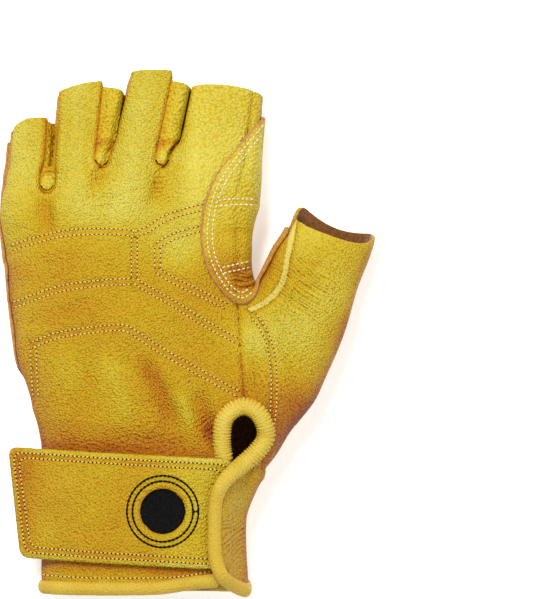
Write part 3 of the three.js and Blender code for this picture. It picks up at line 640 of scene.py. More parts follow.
def line_distance(p, line):
    """Distance of each point from an open line, seen from above, and the length of line passed."""
    near = np.full(len(p), np.inf)
    passed = np.zeros(len(p))
    run = 0
    for a, b in zip(line, line[1:]):
        edge = b - a
        length = np.hypot(*edge)
        t = np.clip((p[:, :2] - a) @ edge / max(length**2, 1e-9), 0, 1)
        away = np.hypot(*(p[:, :2] - a - t[:, None] * edge).T)
        closer = away < near
        near = np.where(closer, away, near)
        passed = np.where(closer, run + t * length, passed)
        run += length
    return near, passed


def length_run(line):
    """Length of line passed at each of its points."""
    return np.concatenate([[0], np.cumsum(np.linalg.norm(np.diff(line, axis=0), axis=1))])


def spaced(line, spacing):
    """The same line with points that lie evenly about that far apart."""
    run = length_run(line)
    at = np.linspace(0, run[-1], max(int(round(run[-1] / spacing)), 1) + 1)
    return np.stack([np.interp(at, run, line[:, k]) for k in range(line.shape[1])], 1)


def smooth_line(points, spacing=2.0):
    """Evenly spaced points on a smooth line through points."""
    q = np.asarray(points, float)
    if len(q) < 3:
        return spaced(q, spacing)
    q = np.vstack([2 * q[0] - q[1], q, 2 * q[-1] - q[-2]])
    t = np.linspace(0, 1, 16, endpoint=False)[:, None]
    made = []
    for p0, p1, p2, p3 in zip(q, q[1:], q[2:], q[3:]):
        made.append(between(p0, p1, p2, p3, t))
    return spaced(np.vstack([*made, q[-2:-1]]), spacing)


def shifted(line, distance):
    """A plan line moved sideways, to its left where distance is positive."""
    step = np.gradient(line[:, :2], axis=0)
    step /= np.maximum(np.hypot(*step.T), 1e-9)[:, None]
    return line[:, :2] + distance * np.stack([-step[:, 1], step[:, 0]], 1)


def arc(x, y, radius, turn):
    """Points of a plan circle at those angles."""
    return np.stack([x + radius * np.cos(turn), y + radius * np.sin(turn)], 1)


def seen(*points):
    """Places on the glove of points of the photograph, whose frame is 549 by 599."""
    return (np.array(points, float) * (1, -1) + PHOTO_ORIGIN) * PHOTO_SCALE


PHOTO_ORIGIN = np.array([-145, 592])
PHOTO_SCALE = 0.4
PHOTO_WIDTH = 549

teardrop = np.array(TEARDROP) * (TEARDROP_WIDTH / 2, TEARDROP_HEIGHT / 2) + (TEARDROP_X, TEARDROP_Y)
flap_edge = np.array(FLAP_EDGE) * (CUFF_WIDTH / 2 - SLIT_X, SLIT_HEIGHT) + (SLIT_X, 0)
thumb_low = THUMB_SEAM_BACK[-1][1] * HAND_LENGTH
high = 2 * HAND_LENGTH
back_seam = smooth_line(places(BACK_SEAM))
thumb_seam = smooth_line(places(THUMB_SEAM_BACK))
thumb_seam_palm = smooth_line(places(THUMB_SEAM_PALM))
welt_seam = smooth_line(places(WELT_SEAM))
overlay_edge = smooth_line(places(OVERLAY_BACK))
overlay_edge_palm = smooth_line(places(OVERLAY_PALM))
back_outline = [
    (-FAR, high), (back_seam[0][0], high), *back_seam, *teardrop[4:], (SLIT_X, 0.9 * SLIT_HEIGHT),
    (SLIT_X, -FAR), (-FAR, -FAR),
]
free_outline = [
    *flap_edge, *teardrop, (SLIT_X - 12, 0.9 * SLIT_HEIGHT), (SLIT_X - 12, -FAR), (flap_edge[0][0], -FAR),
]
thumb_outline = [
    *thumb_seam, (FAR, thumb_low), (FAR, high), (0.7 * PALM_WIDTH, high), *welt_seam[1:][::-1],
]
thumb_palm_outline = [*thumb_seam_palm, (0.68 * PALM_WIDTH, high), (FAR, high), (FAR, thumb_low)]
welt_outline = [*welt_seam, *(welt_seam + (-WELT_WIDTH, WELT_WIDTH / 2))[::-1]]
overlay_outline = [
    *overlay_edge, (0.47 * PALM_WIDTH, 0.8 * HAND_LENGTH), (0.5 * PALM_WIDTH, 0.92 * HAND_LENGTH),
    (0.8 * PALM_WIDTH, 0.95 * HAND_LENGTH), (0.8 * PALM_WIDTH, 1.2 * HAND_LENGTH),
]
overlay_palm_outline = [*overlay_edge_palm, (0.62 * PALM_WIDTH, high), (-0.7 * PALM_WIDTH, high)]


def slot_outline(i):
    """The slot between finger i and the next, from its round bottom out past both tips."""
    ends = []
    for finger, share in ((FINGERS[i], FINGERS[i]["seam"]), (FINGERS[i + 1], -0.95)):
        along, side = finger_axes(finger)
        half = finger["width"] * (finger["root"] + (1 - finger["root"]) * 1.2) / 2
        ends.append(root_of(finger) + along * 1.2 * finger["length"] + side * share * half)
    x = CROTCHES[i]
    turn = np.radians(np.linspace(180, 360, 13))
    return [*arc(x, HAND_LENGTH - web_drop(x), SLOT_RADIUS, turn), ends[1], ends[0]]


slot_outlines = [slot_outline(i) for i in range(3)]


def above_side_seam(p):
    line = np.interp(p[:, 1] / HAND_LENGTH, (-1, 0.7, 1, 1.3), (0.5, 0.54, 0.5, 0.4))
    return p[:, 2] - line * PALM_HEIGHT


def wrapped(p, back, palm):
    """Distance from a region that runs over the side, from its outlines on the back and on the palm."""
    above = above_side_seam(p)
    top = np.maximum(outline_distance(p, back), -above - 1)
    return np.minimum(top, np.maximum(outline_distance(p, palm), above - 1))


def regions(p):
    above = above_side_seam(p)
    return dict(
        above=above,
        back=np.maximum(outline_distance(p, back_outline), -above),
        thumb=wrapped(p, thumb_outline, thumb_palm_outline),
        welt=np.maximum(outline_distance(p, welt_outline), -above),
        overlay=wrapped(p, overlay_outline, overlay_palm_outline),
        hole=np.maximum(outline_distance(p, teardrop), 0.6 * CUFF_HEIGHT - p[:, 2]),
        free=np.maximum(outline_distance(p, free_outline), 0.6 * CUFF_HEIGHT - p[:, 2]),
        slots=np.array([outline_distance(p, outline) for outline in slot_outlines]),
    )


def flap_lift(x, y):
    """How far the flap stands proud, because the strap passes under it."""
    cx, half, *_ = hand_section(np.clip(y, 0, HAND_LENGTH))
    side = np.minimum(cx + half, CUFF_WIDTH / 2 + 2) - LEATHER
    out = 1 - smoothstep(x, SLIT_X + STRAP_TUCK, side)
    lift = FLAP_LIFT * out * (1 - smoothstep(y, 0.92 * SLIT_HEIGHT, 1.12 * SLIT_HEIGHT))
    return np.where(x < 0, 0, lift)


# Stitched rows. Each double row is one line, with a row of stitches to either side of it.
ROW_GAP = 1.15
QUILTING = [smooth_line(seen(*row)) for row in (
    [(14, 305), (19, 303.5), (60, 289.5), (100, 283.5), (132, 281.5)],
    [(13, 248), (19, 246), (60, 235), (95, 232), (125, 233), (136, 235)],
    [(136, 235), (150, 229.5), (163, 220.5), (180, 214), (207, 207)],
    [(136, 281), (150, 290), (175, 304), (200, 320), (236, 340)],
    [(33, 345), (62, 334.5), (100, 329), (125, 327.5), (136, 333)],
    [(136, 333), (160, 349), (195, 369), (238, 393)],
    [(135.5, 239), (135.5, 277)],
    [(158.5, 249), (158.5, 268)],
    [(158.5, 246), (175, 237), (203, 228.5)],
    [(158.5, 271), (175, 281), (200, 293), (226, 306)],
    [(34.5, 349), (35, 370), (36.5, 396)],
)]
OVERLAY_ROWS = [smooth_line(seen(*row)) for row in (
    [(214, 205), (232, 202.5), (254, 202.5)],
    [(214, 273), (230, 269), (251, 264)],
)]

# Middle and height of each knuckle's dome
KNUCKLES = [(*seen(spot)[0], tall) for spot, tall in (
    ((24, 212), 0.7), ((72, 208), 0.9), ((124, 208), 1.2), ((196, 188), 0.8),
)]

# Painted highlights and painted shade on the leather: place, size and amount
PAINTED_LIGHT_AND_SHADE = [(*seen(spot)[0], size, amount) for spot, size, amount in (
    ((112, 205), 9, 0.6), ((84, 212), 7, 0.25), ((180, 252), 9, 0.55), ((78, 262), 16, -0.12),
    ((20, 270), 6, -0.3), ((226, 262), 10, -0.2), ((68, 378), 8, 0.3), ((108, 366), 6, 0.3),
    ((120, 452), 12, -0.25), ((60, 446), 8, -0.25), ((286, 328), 17, 0.8), ((330, 290), 13, 0.45),
    ((300, 412), 14, -0.8), ((348, 330), 8, -0.5), ((252, 340), 7, 0.45), ((256, 372), 6, 0.2),
    ((300, 245), 6, 0.3), ((190, 398), 12, 0.2), ((236, 510), 14, 0.25), ((222, 118), 14, -0.2),
    ((204, 500), 6, 0.1),
)]

# Creases and soft folds: points, depth, half width. A negative depth is a ridge. Folds get painted shade,
# ridges painted light.
FOLDS = [(smooth_line(seen(*line)), depth, width) for line, depth, width in (
    ([(134, 346), (152, 376), (166, 404), (180, 440)], 1.5, 3.2),
    ([(196, 380), (202, 405), (208, 430), (216, 450)], 1.5, 2.8),
    ([(92, 352), (88, 385), (90, 420)], 0.5, 3.5),
    ([(112, 350), (122, 390), (132, 434)], -0.9, 4.5),
    ([(176, 384), (184, 408), (194, 438)], -1.0, 3.2),
    ([(44, 404), (60, 413), (78, 420)], -0.5, 4.5),
    ([(43, 194), (47, 214), (50, 242)], 1.3, 2.8),
    ([(161, 170), (158, 190), (150, 208)], 0.9, 2.0),
    ([(103, 168), (99, 182), (92, 196)], 0.7, 2.0),
    ([(40, 441), (100, 446), (160, 446), (214, 450)], 0.8, 3.2),
    ([(60, 425), (120, 434), (180, 436)], 0.35, 2.2),
    ([(206, 420), (214, 438), (219, 452)], 0.6, 1.6),
    ([(211, 412), (219, 428), (224, 440)], 0.4, 1.2),
    ([(248, 318), (262, 330), (268, 350)], 0.5, 2.2),
    ([(250, 345), (256, 370), (252, 395)], 0.5, 2.6),
    ([(284, 288), (300, 294), (322, 306)], 0.55, 1.1),
    ([(280, 294), (296, 304), (312, 318)], 0.55, 1.1),
    ([(286, 279), (304, 286), (326, 294)], 0.5, 1.1),
    ([(290, 268), (308, 276), (330, 282)], 0.45, 1.0),
    ([(292, 258), (310, 264), (328, 268)], 0.35, 1.0),
    ([(294, 246), (312, 250), (332, 252)], 0.3, 1.0),
    ([(272, 304), (288, 316), (302, 334)], 0.55, 1.3),
    ([(266, 312), (282, 328), (292, 348)], 0.45, 1.4),
    ([(278, 352), (290, 372), (298, 398)], 0.35, 1.8),
    ([(300, 224), (306, 240), (304, 256)], 0.3, 1.2),
    ([(96, 203), (108, 198), (122, 201)], 0.35, 1.1),
    ([(92, 211), (106, 207), (118, 209)], 0.3, 1.1),
    ([(128, 196), (140, 190), (152, 194)], 0.3, 1.0),
    ([(20, 320), (60, 312), (110, 306)], 0.3, 3.0),
)]
OVERLAY_FOLDS = [(smooth_line(seen(*line)), depth, width) for line, depth, width in (
    ([(226, 277), (240, 272), (254, 269)], 0.7, 1.1),
    ([(229, 284), (242, 280), (255, 278)], 0.8, 1.1),
    ([(234, 291), (244, 288), (254, 288)], 0.6, 1.0),
    ([(216, 235), (232, 232), (252, 236)], 0.35, 2.0),
    ([(240, 175), (244, 190), (250, 205)], 0.3, 2.0),
)]
PALM_FOLDS = [(smooth_line(np.array(line, float)), depth, width) for line, depth, width in (
    ([(-30, 146), (0, 152), (36, 150)], 0.6, 1.6),
    ([(-38, 112), (-5, 124), (30, 128)], 0.5, 1.6),
    ([(-6, 62), (2, 90), (18, 106)], 0.5, 1.8),
    ([(10, 70), (22, 92), (36, 104)], 0.4, 1.5),
)]


def swell(p, seed, size):
    """A gentle, repeatable unevenness between about -1 and 1, with waves of about that size."""
    rng = np.random.default_rng(seed)
    total = 0
    for _ in range(7):
        way = rng.normal(size=3)
        way *= rng.uniform(0.6, 1.5) * 2 * math.pi / size / np.linalg.norm(way)
        total = total + np.sin(p @ way + rng.uniform(0, 2 * math.pi))
    return total / 3.2


def folded(p, folds):
    """Depth and shade of a list of folds."""
    depth, shade = np.zeros(len(p)), np.zeros(len(p))
    for line, deep, width in folds:
        away, passed = line_distance(p, line)
        length = np.hypot(*np.diff(line, axis=0).T).sum()
        fade = smoothstep(passed, 0, 0.35 * length) * smoothstep(length - passed, 0, 0.35 * length)
        fade = np.maximum(fade, 0.15)
        depth += fade * deep * (bump(away, width) - 0.45 * bump(away - 2 * width, width))
        shade += fade * deep * bump(away, 1.2 * width)
    return depth, shade


# Fine wrinkles: place, direction in degrees, spacing, size of the place and strength
WRINKLES = [(*seen(spot)[0], turned, spacing, size, strength) for spot, turned, spacing, size, strength in (
    ((306, 292), -36, 1.5, 15, 0.8), ((284, 352), -52, 1.8, 11, 0.6), ((240, 284), 8, 1.9, 7, 1.0),
    ((233, 536), 32, 1.7, 9, 1.0), ((112, 198), 8, 1.8, 9, 0.4), ((158, 184), 4, 1.8, 6, 0.7),
    ((100, 176), 4, 1.7, 4, 0.6), ((150, 436), 6, 2.2, 12, 0.5), ((212, 428), 38, 1.7, 7, 0.9),
    ((262, 372), -62, 1.8, 7, 0.7), ((110, 120), 2, 1.6, 4, 0.6), ((180, 122), 4, 1.6, 5, 0.7),
    ((248, 218), -20, 1.9, 8, 0.4), ((60, 400), 20, 2.2, 8, 0.4),
)]


def wrinkled(p):
    """Where in a wrinkle each point lies, in waves, and how strong the wrinkles are there."""
    phase, strong, second = np.zeros((3, len(p)))
    for x, y, turned, spacing, size, strength in WRINKLES:
        turned = math.radians(turned)
        dx, dy = p[:, 0] - x, p[:, 1] - y
        weight = strength * bump(np.hypot(dx, dy), size)
        value = (dy * math.cos(turned) - dx * math.sin(turned)) / spacing + 0.55 * swell(p, 31, 11)
        phase = np.where(weight > strong, value, phase)
        second = np.maximum(second, np.minimum(strong, weight))
        strong = np.maximum(strong, weight)
    return phase, strong - second


def row_relief(p, lines, groove, puff):
    """Depth and shade of the groove along rows of stitches, with the leather puffed beside it."""
    depth, shade = np.zeros(len(p)), np.zeros(len(p))
    for line in lines:
        away, _ = line_distance(p, line)
        depth = np.maximum(depth, groove * bump(away, 1.9)) - puff * bump(away - 5.5, 3) * (away > 2)
        shade = np.maximum(shade, bump(away, 1.7))
    return depth, shade


def relief(p, n, r):
    """Depth below the plain form, painted shade, painted light with tone, coarse and rise of skin points.
    """
    top = smoothstep(r["above"], -1, 3)
    under = 1 - smoothstep(p[:, 2], 2.5, 8)
    # The folds, the quilted rows and the palm folds get painted shade along their grooves, and the ridges
    # painted light.
    depth, crease = folded(p, FOLDS)
    rows, row_shade = row_relief(p, QUILTING, 0.4, 0.35)
    inside_back = smoothstep(-r["back"], 0, 1)
    depth = top * (depth + rows * inside_back)
    crease = top * (0.27 * crease + 0.1 * row_shade * inside_back)
    below, below_shade = folded(p, PALM_FOLDS)
    depth += (1 - top) * below
    crease += (1 - top) * 0.5 * below_shade
    slot = r["slots"].min(0)
    # Each seam sinks into a groove that gets painted shade.
    for name, deep in (("back", 0.65), ("thumb", 0.3), ("welt", 0.3)):
        seam = bump(r[name], 1.0)
        crease += 0.5 * deep * seam
        depth += deep * seam - 0.3 * bump(np.abs(r[name]) - 3, 1.6)
    beside = smoothstep(-slot, -0.3, 0.9)
    reach = np.array([finger_distance(finger, p) for finger in FINGERS])
    next_wall = np.zeros(len(p))
    for i, x in enumerate(CROTCHES):
        nearer = smoothstep(reach[i] - reach[i + 1], -0.3, 0.6) * (r["slots"][i] < 1.5)
        bottom = HAND_LENGTH - web_drop(x)
        nearer = nearer * smoothstep(p[:, 1], bottom + 2, bottom + 8)
        next_wall = np.maximum(next_wall, nearer)
    facing = smoothstep(n[:, 2], 0.15, 0.7) * (1 - next_wall)
    bottoms = HAND_LENGTH - web_drop(p[:, 0])
    raised = 3.5 * (1 - smoothstep(np.sort(reach, axis=0)[1], 0, 4)) * smoothstep(n[:, 2], -0.4, -0.05)
    raised *= smoothstep(-slot, -2.5, -0.5)
    for i in range(len(CROTCHES)):
        beyond = r["slots"][i]
        shoulder = (reach[i + 1] < reach[i]) * (beyond > -1.5) * (1 - smoothstep(beyond, 0, 6.5))
        raised = np.maximum(raised, 1.8 * shoulder * smoothstep(n[:, 2], 0, 0.5))
    raised *= smoothstep(p[:, 1], bottoms + 2, bottoms + 7)
    depth += (0.7 * bump(slot, 0.8) + 1.1 * beside) * facing
    # Painted shade along the slots' edges; deep in a slot the next finger's wall is painted lighter against
    # its shade.
    crease += 0.5 * bump(slot, 1.0) * (1 - 0.8 * next_wall) + 0.08 * beside - 0.2 * beside * next_wall
    shine = 0
    for i, x in enumerate(CROTCHES):
        on_next = smoothstep(-finger_local(FINGERS[i + 1], p)[1], 0, 1)
        on_last = smoothstep(finger_local(FINGERS[i], p)[1], 0, 1)
        near_slot = r["slots"][i]
        # Painted shade on the next finger's side beside each slot, and a painted highlight along the back
        # panel beside it.
        crease += 0.42 * top * on_next * bump(near_slot, 3.2) * (near_slot > 0)
        shine = shine + 0.4 * top * on_last * bump(near_slot - 2.0, 1.3)
        bottom = HAND_LENGTH - web_drop(x)
        across = bump(p[:, 0] - x, 5)
        tab = across * bump(p[:, 1] - bottom - 0.6, 2.6) * top
        outside = smoothstep(-near_slot, -1, 0.5)
        fold = across * bump(p[:, 1] - bottom - 6.0, 1.5) * outside
        depth += 0.5 * fold - 0.5 * tab * outside
        # Painted shade in the fold above the slot's bottom, and a painted highlight on the tab.
        crease += 0.5 * fold - 0.3 * tab
    # Painted shade on the sides that turn away from the top, a little less towards the fingers.
    side = smoothstep(1 - n[:, 2], 0.06, 0.75) * top
    crease += side * (1 - beside) * (0.46 - 0.2 * smoothstep(p[:, 1], 120, 160) * (p[:, 0] < 46))
    # Painted shade round the teardrop's hole and binding.
    from_teardrop = np.hypot(*(p[:, :2] - (TEARDROP_X, TEARDROP_Y)).T)
    teardrop_shade = np.maximum(bump(r["hole"], 4.5), bump(from_teardrop - 13, 2.5))
    crease += 0.22 * top * teardrop_shade
    depth += top * (0.28 * swell(p, 3, 26) + 0.1 * swell(p, 4, 11))
    dips = np.minimum(valley(p[:, 0], p[:, 1]), 1.2)
    depth += top * 0.9 * dips * bump(p[:, 1] - 158, 24)
    for x, y, tall in KNUCKLES:
        depth -= top * tall * bump(np.hypot(p[:, 0] - x, 0.8 * (p[:, 1] - y)), 10)
    depth = depth * (1 - 0.6 * under) - neighbour_room(p, n)
    # Painted shade in the valleys between the knuckles.
    crease += 0.14 * top * dips * bump(p[:, 1] - 158, 16)
    # The fingers and knuckles get a painted highlight, less in the valleys, with random tone, the seam
    # highlights and the listed spots of painted light and shade.
    fingers = smoothstep(p[:, 1], 120, 165) * top
    wear = fingers * (0.8 - 0.3 * dips) + 0.1 * swell(p, 8, 34) + shine
    for x, y, size, amount in PAINTED_LIGHT_AND_SHADE:
        wear += amount * top * bump(np.hypot(p[:, 0] - x, p[:, 1] - y), size)
    # Painted shade below the side seam and in a band above the strap.
    crease += 0.1 * smoothstep(-r["above"], -7, 2) + 0.12 * top * bump(p[:, 1] - 60, 8) * (p[:, 0] < 34)
    coarse = smoothstep(p[:, 0], 12, 26) * smoothstep(p[:, 1], 128, 160) + beside
    # Painted shadow on the back just below and just above the strap's edges.
    strap_away = p[:, 1] - STRAP_Y + (p[:, 0] - HOLE_X) * math.tan(math.radians(-STRAP_TURN))
    strap_edge_shadow = 0.4 * bump(strap_away + STRAP_HEIGHT / 2 + 1.2, 2.4)
    strap_edge_shadow += 0.25 * bump(strap_away - STRAP_HEIGHT / 2 - 1, 2.2)
    crease += top * strap_edge_shadow * (p[:, 0] < 34)
    return depth, crease, wear, np.clip(coarse, 0, 1), raised


# The skin of the whole glove
low_corner, high_corner = (-60, -6, 0), (97, 222, 36)
points, faces = surface_net(form_distance, low_corner, high_corner, GRID)
for _ in range(2):
    slope = gradient(form_distance, points)
    off = form_distance(points) / np.maximum((slope**2).sum(1), 0.2)
    points = points - slope * off[:, None]
normals = slope / np.linalg.norm(slope, axis=1)[:, None]
skin = dict(p=points, t=faces, n=normals, base=points)
skin = clipped(skin, -skin["p"][:, 1])
skin = clipped(skin, cut_planes(skin["base"]))
field = regions(skin["base"])
depth, crease, wear, coarse, raised = relief(skin["base"], skin["n"], field)
flat_end = smoothstep(skin["base"][:, 1], 0, 3)
skin["p"] = skin["base"] - skin["n"] * (depth * flat_end)[:, None]
skin["p"][:, 2] += raised
skin["crease"], skin["wear"], skin["coarse"] = crease, wear, coarse
skin["phase"], skin["wrinkle"] = wrinkled(skin["base"])
skin["wrinkle"] = skin["wrinkle"] * smoothstep(field["above"], -3, 2)


def cut_skin(mesh, *keep):
    """The part of the skin where every one of the distances is negative."""
    names = [f"cut{i}" for i in range(len(keep))]
    mesh = dict(mesh, **dict(zip(names, keep)))
    for name in names:
        mesh = clipped(mesh, mesh[name])
    return main_part(welded({k: v for k, v in mesh.items() if not k.startswith("cut")}, 0.12))


slot_away = field["slots"].min(0)
base = skin["base"]
underlap = np.max([
    SLIT_X - 1 - base[:, 0], base[:, 0] - SLIT_X - UNDERLAP, base[:, 1] - 0.8 * SLIT_HEIGHT,
    0.6 * CUFF_HEIGHT - base[:, 2],
], axis=0)
upper_half = base[:, 2] > hand_section(np.clip(base[:, 1], 0, HAND_LENGTH))[2]
lift = np.where(upper_half, flap_lift(base[:, 0], base[:, 1]), 0)
lifted = dict(skin, p=skin["p"] + lift[:, None] * (0, 0, 1))
panels = {
    "back": cut_skin(
        skin, np.minimum(field["back"], underlap) + PANEL_GAP, PANEL_GAP - slot_away, -field["hole"],
        1.2 + 3 * smoothstep(base[:, 0], 0, SLIT_X) - base[:, 1],
    ),
    "palm": cut_skin(
        lifted, PANEL_GAP - field["back"], 2 * PANEL_GAP - field["thumb"], PANEL_GAP - field["welt"],
        PANEL_GAP - slot_away, -field["free"],
    ),
    "thumb": cut_skin(
        skin, field["thumb"] + 2 * PANEL_GAP, PANEL_GAP - field["back"], PANEL_GAP - slot_away,
    ),
    "welt": cut_skin(
        skin, field["welt"] + 0.05, 2 * PANEL_GAP - field["thumb"], PANEL_GAP - field["back"],
    ),
}
for i, name in enumerate(("little_ring", "ring_middle", "middle_index")):
    panels["fourchette_" + name] = cut_skin(skin, field["slots"][i] + PANEL_GAP)

# The overlay lies on the skin and leaves the finger ends bare
rows, row_shade = row_relief(base, OVERLAY_ROWS, 0.3, 0.25)
folds, fold_shade = folded(base, OVERLAY_FOLDS)
top = smoothstep(field["above"], -1, 3)
over = top * (rows + folds)
ends = []
for finger in FINGERS:
    s, u = finger_local(finger, base)
    share = OVERLAY_END / finger["length"]
    ends.append(np.maximum((1 - share - s) * finger["length"], np.abs(u) - finger["width"] / 2 - 2 * SOLE))
plain = np.minimum(depth, 0.4)
overlay = dict(
    skin,
    p=base + skin["n"] * (SOLE - plain - over)[:, None],
    # Painted shade along the overlay's stitched rows and folds.
    crease=top * (0.15 * row_shade + 0.4 * fold_shade) + 0.3 * (1 - top) * crease,
    wear=wear - 0.1,
)
overlay["p"][:, 2] = np.maximum(overlay["p"][:, 2], 0)
tucked = np.where((base[:, 1] > 0.87 * HAND_LENGTH) & (base[:, 0] < 18), field["above"] + 5, -5)
panels["overlay"] = cut_skin(
    overlay, field["overlay"], PANEL_GAP - slot_away, -np.min(ends, axis=0), tucked,
)


# Materials

def linear(*rgb):
    """A colour written as 0 to 255, as Blender's own values."""
    return [((c / 255 + 0.055) / 1.055) ** 2.4 if c > 10 else c / 255 / 12.92 for c in rgb] + [1]


class Graph:
    """A material's nodes, added and linked by short calls."""

    def __init__(self, name):
        self.material = bpy.data.materials.new(name)
        self.material.use_nodes = True
        self.tree = self.material.node_tree
        self.shader = self.tree.nodes["Principled BSDF"]

    def put(self, socket, value):
        if isinstance(value, bpy.types.NodeSocket):
            self.tree.links.new(value, socket)
        else:
            socket.default_value = value

    def add(self, kind, inputs=None, **settings):
        made = self.tree.nodes.new("ShaderNode" + kind)
        for key, value in settings.items():
            setattr(made, key, value)
        for key, value in (inputs or {}).items():
            self.put(made.inputs[key], value)
        return made

    def math(self, operation, a, b=0.0, c=0.0):
        return self.add("Math", {0: a, 1: b, 2: c}, operation=operation).outputs[0]

    def sum(self, *terms):
        total = terms[0]
        for term in terms[1:]:
            total = self.math("ADD", total, term)
        return total

    def times(self, value, factor):
        return self.math("MULTIPLY", value, factor)

    def noise(self, scale, detail=3.0, roughness=0.55):
        inputs = {"Vector": self.where, "Scale": scale, "Detail": detail, "Roughness": roughness}
        return self.add("TexNoise", inputs).outputs[0]

    def cells(self, scale, vector):
        inputs = {"Vector": vector, "Scale": scale, "Smoothness": 0.08}
        return self.add("TexVoronoi", inputs, feature="SMOOTH_F1").outputs["Distance"]

    @property
    def where(self):
        if not hasattr(self, "_where"):
            self._where = self.add("TexCoord").outputs["Object"]
        return self._where

    def attribute(self, name):
        return self.add("Attribute", attribute_name=name).outputs["Fac"]

    def ramp(self, factor, stops):
        made = self.add("ValToRGB", {"Fac": factor})
        elements = made.color_ramp.elements
        for _ in stops[2:]:
            elements.new(0.5)
        for element, (at, colour) in zip(elements, stops):
            element.position = at
            element.color = linear(*colour)
        return made.outputs["Color"]

    def bump(self, height, distance, strength):
        inputs = {"Height": height, "Distance": distance, "Strength": strength}
        return self.add("Bump", inputs).outputs[0]

    def finish(self, **inputs):
        for key, value in inputs.items():
            self.put(self.shader.inputs[key.replace("_", " ")], value)
        return self.material


def leather_material(name, stops, grain=1.0):
    g = Graph(name)
    warp = g.add("TexNoise", {"Vector": g.where, "Scale": 260.0, "Detail": 2.0}).outputs["Color"]
    spread = g.add("VectorMath", {0: warp, 1: (0.0004, 0.0004, 0.0004)}, operation="MULTIPLY").outputs[0]
    moved = g.add("VectorMath", {0: g.where, 1: spread}, operation="ADD").outputs[0]
    fine = g.cells(1220.0, moved)
    wide = g.cells(860.0, moved)
    coarse = g.attribute("coarse")
    pebble = g.sum(g.times(fine, g.math("SUBTRACT", 1.0, coarse)), g.times(wide, coarse))
    pores = g.noise(2600.0, 2.0)
    wave = g.math("SINE", g.times(g.attribute("phase"), 2 * math.pi))
    wave = g.math("POWER", g.math("MULTIPLY_ADD", wave, 0.5, 0.5), 3.0)
    broken = g.math("MULTIPLY", g.attribute("wrinkle"), g.noise(330.0, 2.0))
    wrinkle = g.math("MULTIPLY", wave, broken)
    mottle = g.noise(42.0, 4.0)
    patches = g.noise(260.0, 3.0)
    # The tone falls with the painted shade and with painted shade in the wrinkle troughs, and rises with
    # the painted light and wear; grain and mottling are the leather's own.
    tone = g.sum(
        0.5, g.times(g.attribute("wear"), 0.32), g.times(g.attribute("crease"), -0.42),
        g.times(g.math("SUBTRACT", mottle, 0.5), 0.14), g.times(g.math("SUBTRACT", patches, 0.5), 0.07),
        g.times(g.math("SUBTRACT", pebble, 0.4), -0.32 * grain), g.times(wrinkle, -0.5),
    )
    colour = g.ramp(tone, stops)
    height = g.sum(g.times(pebble, -1.0 * grain), g.times(pores, 0.06), g.times(wrinkle, -1.1))
    normal = g.bump(height, 0.00078, 1.0)
    rough = g.math("ADD", 0.36, g.times(pebble, 0.3))
    return g.finish(
        Base_Color=colour, Roughness=rough, Normal=normal, IOR=1.5, Specular_IOR_Level=0.26,
    )


# Colours of the leather by tone, from the orange of painted shade to the pale yellow of painted highlight.
GOLD = [
    (0.0, (122, 46, 2)), (0.2, (168, 92, 2)), (0.4, (187, 138, 4)), (0.58, (195, 168, 22)),
    (0.8, (205, 194, 79)), (1.0, (216, 211, 122)),
]
PALE = [
    (0.0, (140, 84, 12)), (0.3, (176, 138, 34)), (0.5, (192, 166, 62)), (0.7, (204, 186, 88)),
    (1.0, (218, 206, 124)),
]
BINDING = [
    (0.0, (128, 60, 6)), (0.3, (174, 118, 20)), (0.5, (194, 158, 40)), (0.7, (206, 180, 68)),
    (1.0, (220, 206, 120)),
]


def suede_material(name, dark, light):
    g = Graph(name)
    nap = g.noise(900.0, 4.0, 0.7)
    fibres = g.noise(3200.0, 3.0, 0.7)
    colour = g.ramp(nap, [(0.3, dark), (0.7, light)])
    normal = g.bump(g.sum(nap, g.times(fibres, 0.6)), 0.0005, 0.9)
    return g.finish(
        Base_Color=colour, Roughness=0.95, Normal=normal, Sheen_Weight=0.35, Specular_IOR_Level=0.15,
    )


def thread_material(name, dark, light, rough=0.55):
    g = Graph(name)
    twist = g.noise(1800.0, 2.0)
    colour = g.ramp(twist, [(0.3, dark), (0.7, light)])
    normal = g.bump(twist, 0.0002, 0.6)
    return g.finish(Base_Color=colour, Roughness=rough, Normal=normal, Specular_IOR_Level=0.12)


leather = leather_material("golden_leather", GOLD)
pale_leather = leather_material("pale_leather", PALE, 0.6)
binding_leather = leather_material("binding_leather", BINDING, 0.4)
suede = suede_material("suede_inside", (92, 52, 20), (150, 96, 44))
raw_edge = suede_material("raw_edge", (160, 96, 34), (212, 154, 70))
threads = {
    "beige": thread_material("beige_thread", (196, 152, 66), (234, 210, 130)),
    "white": thread_material("white_thread", (200, 184, 128), (244, 234, 196)),
    "tan": thread_material("tan_thread", (196, 152, 60), (240, 212, 124)),
    "black": thread_material("black_thread", (6, 5, 5), (20, 16, 15), 0.6),
    # The needle holes' dark colours are painted shade; the slots' small stitches use the darker one too.
    "hole": thread_material("needle_hole", (66, 32, 5), (104, 58, 12), 0.9),
    "dark_hole": thread_material("dark_needle_hole", (22, 10, 4), (50, 26, 8), 0.9),
}
loops = thread_material("black_loops", (2, 2, 2), (34, 32, 33), 0.7)

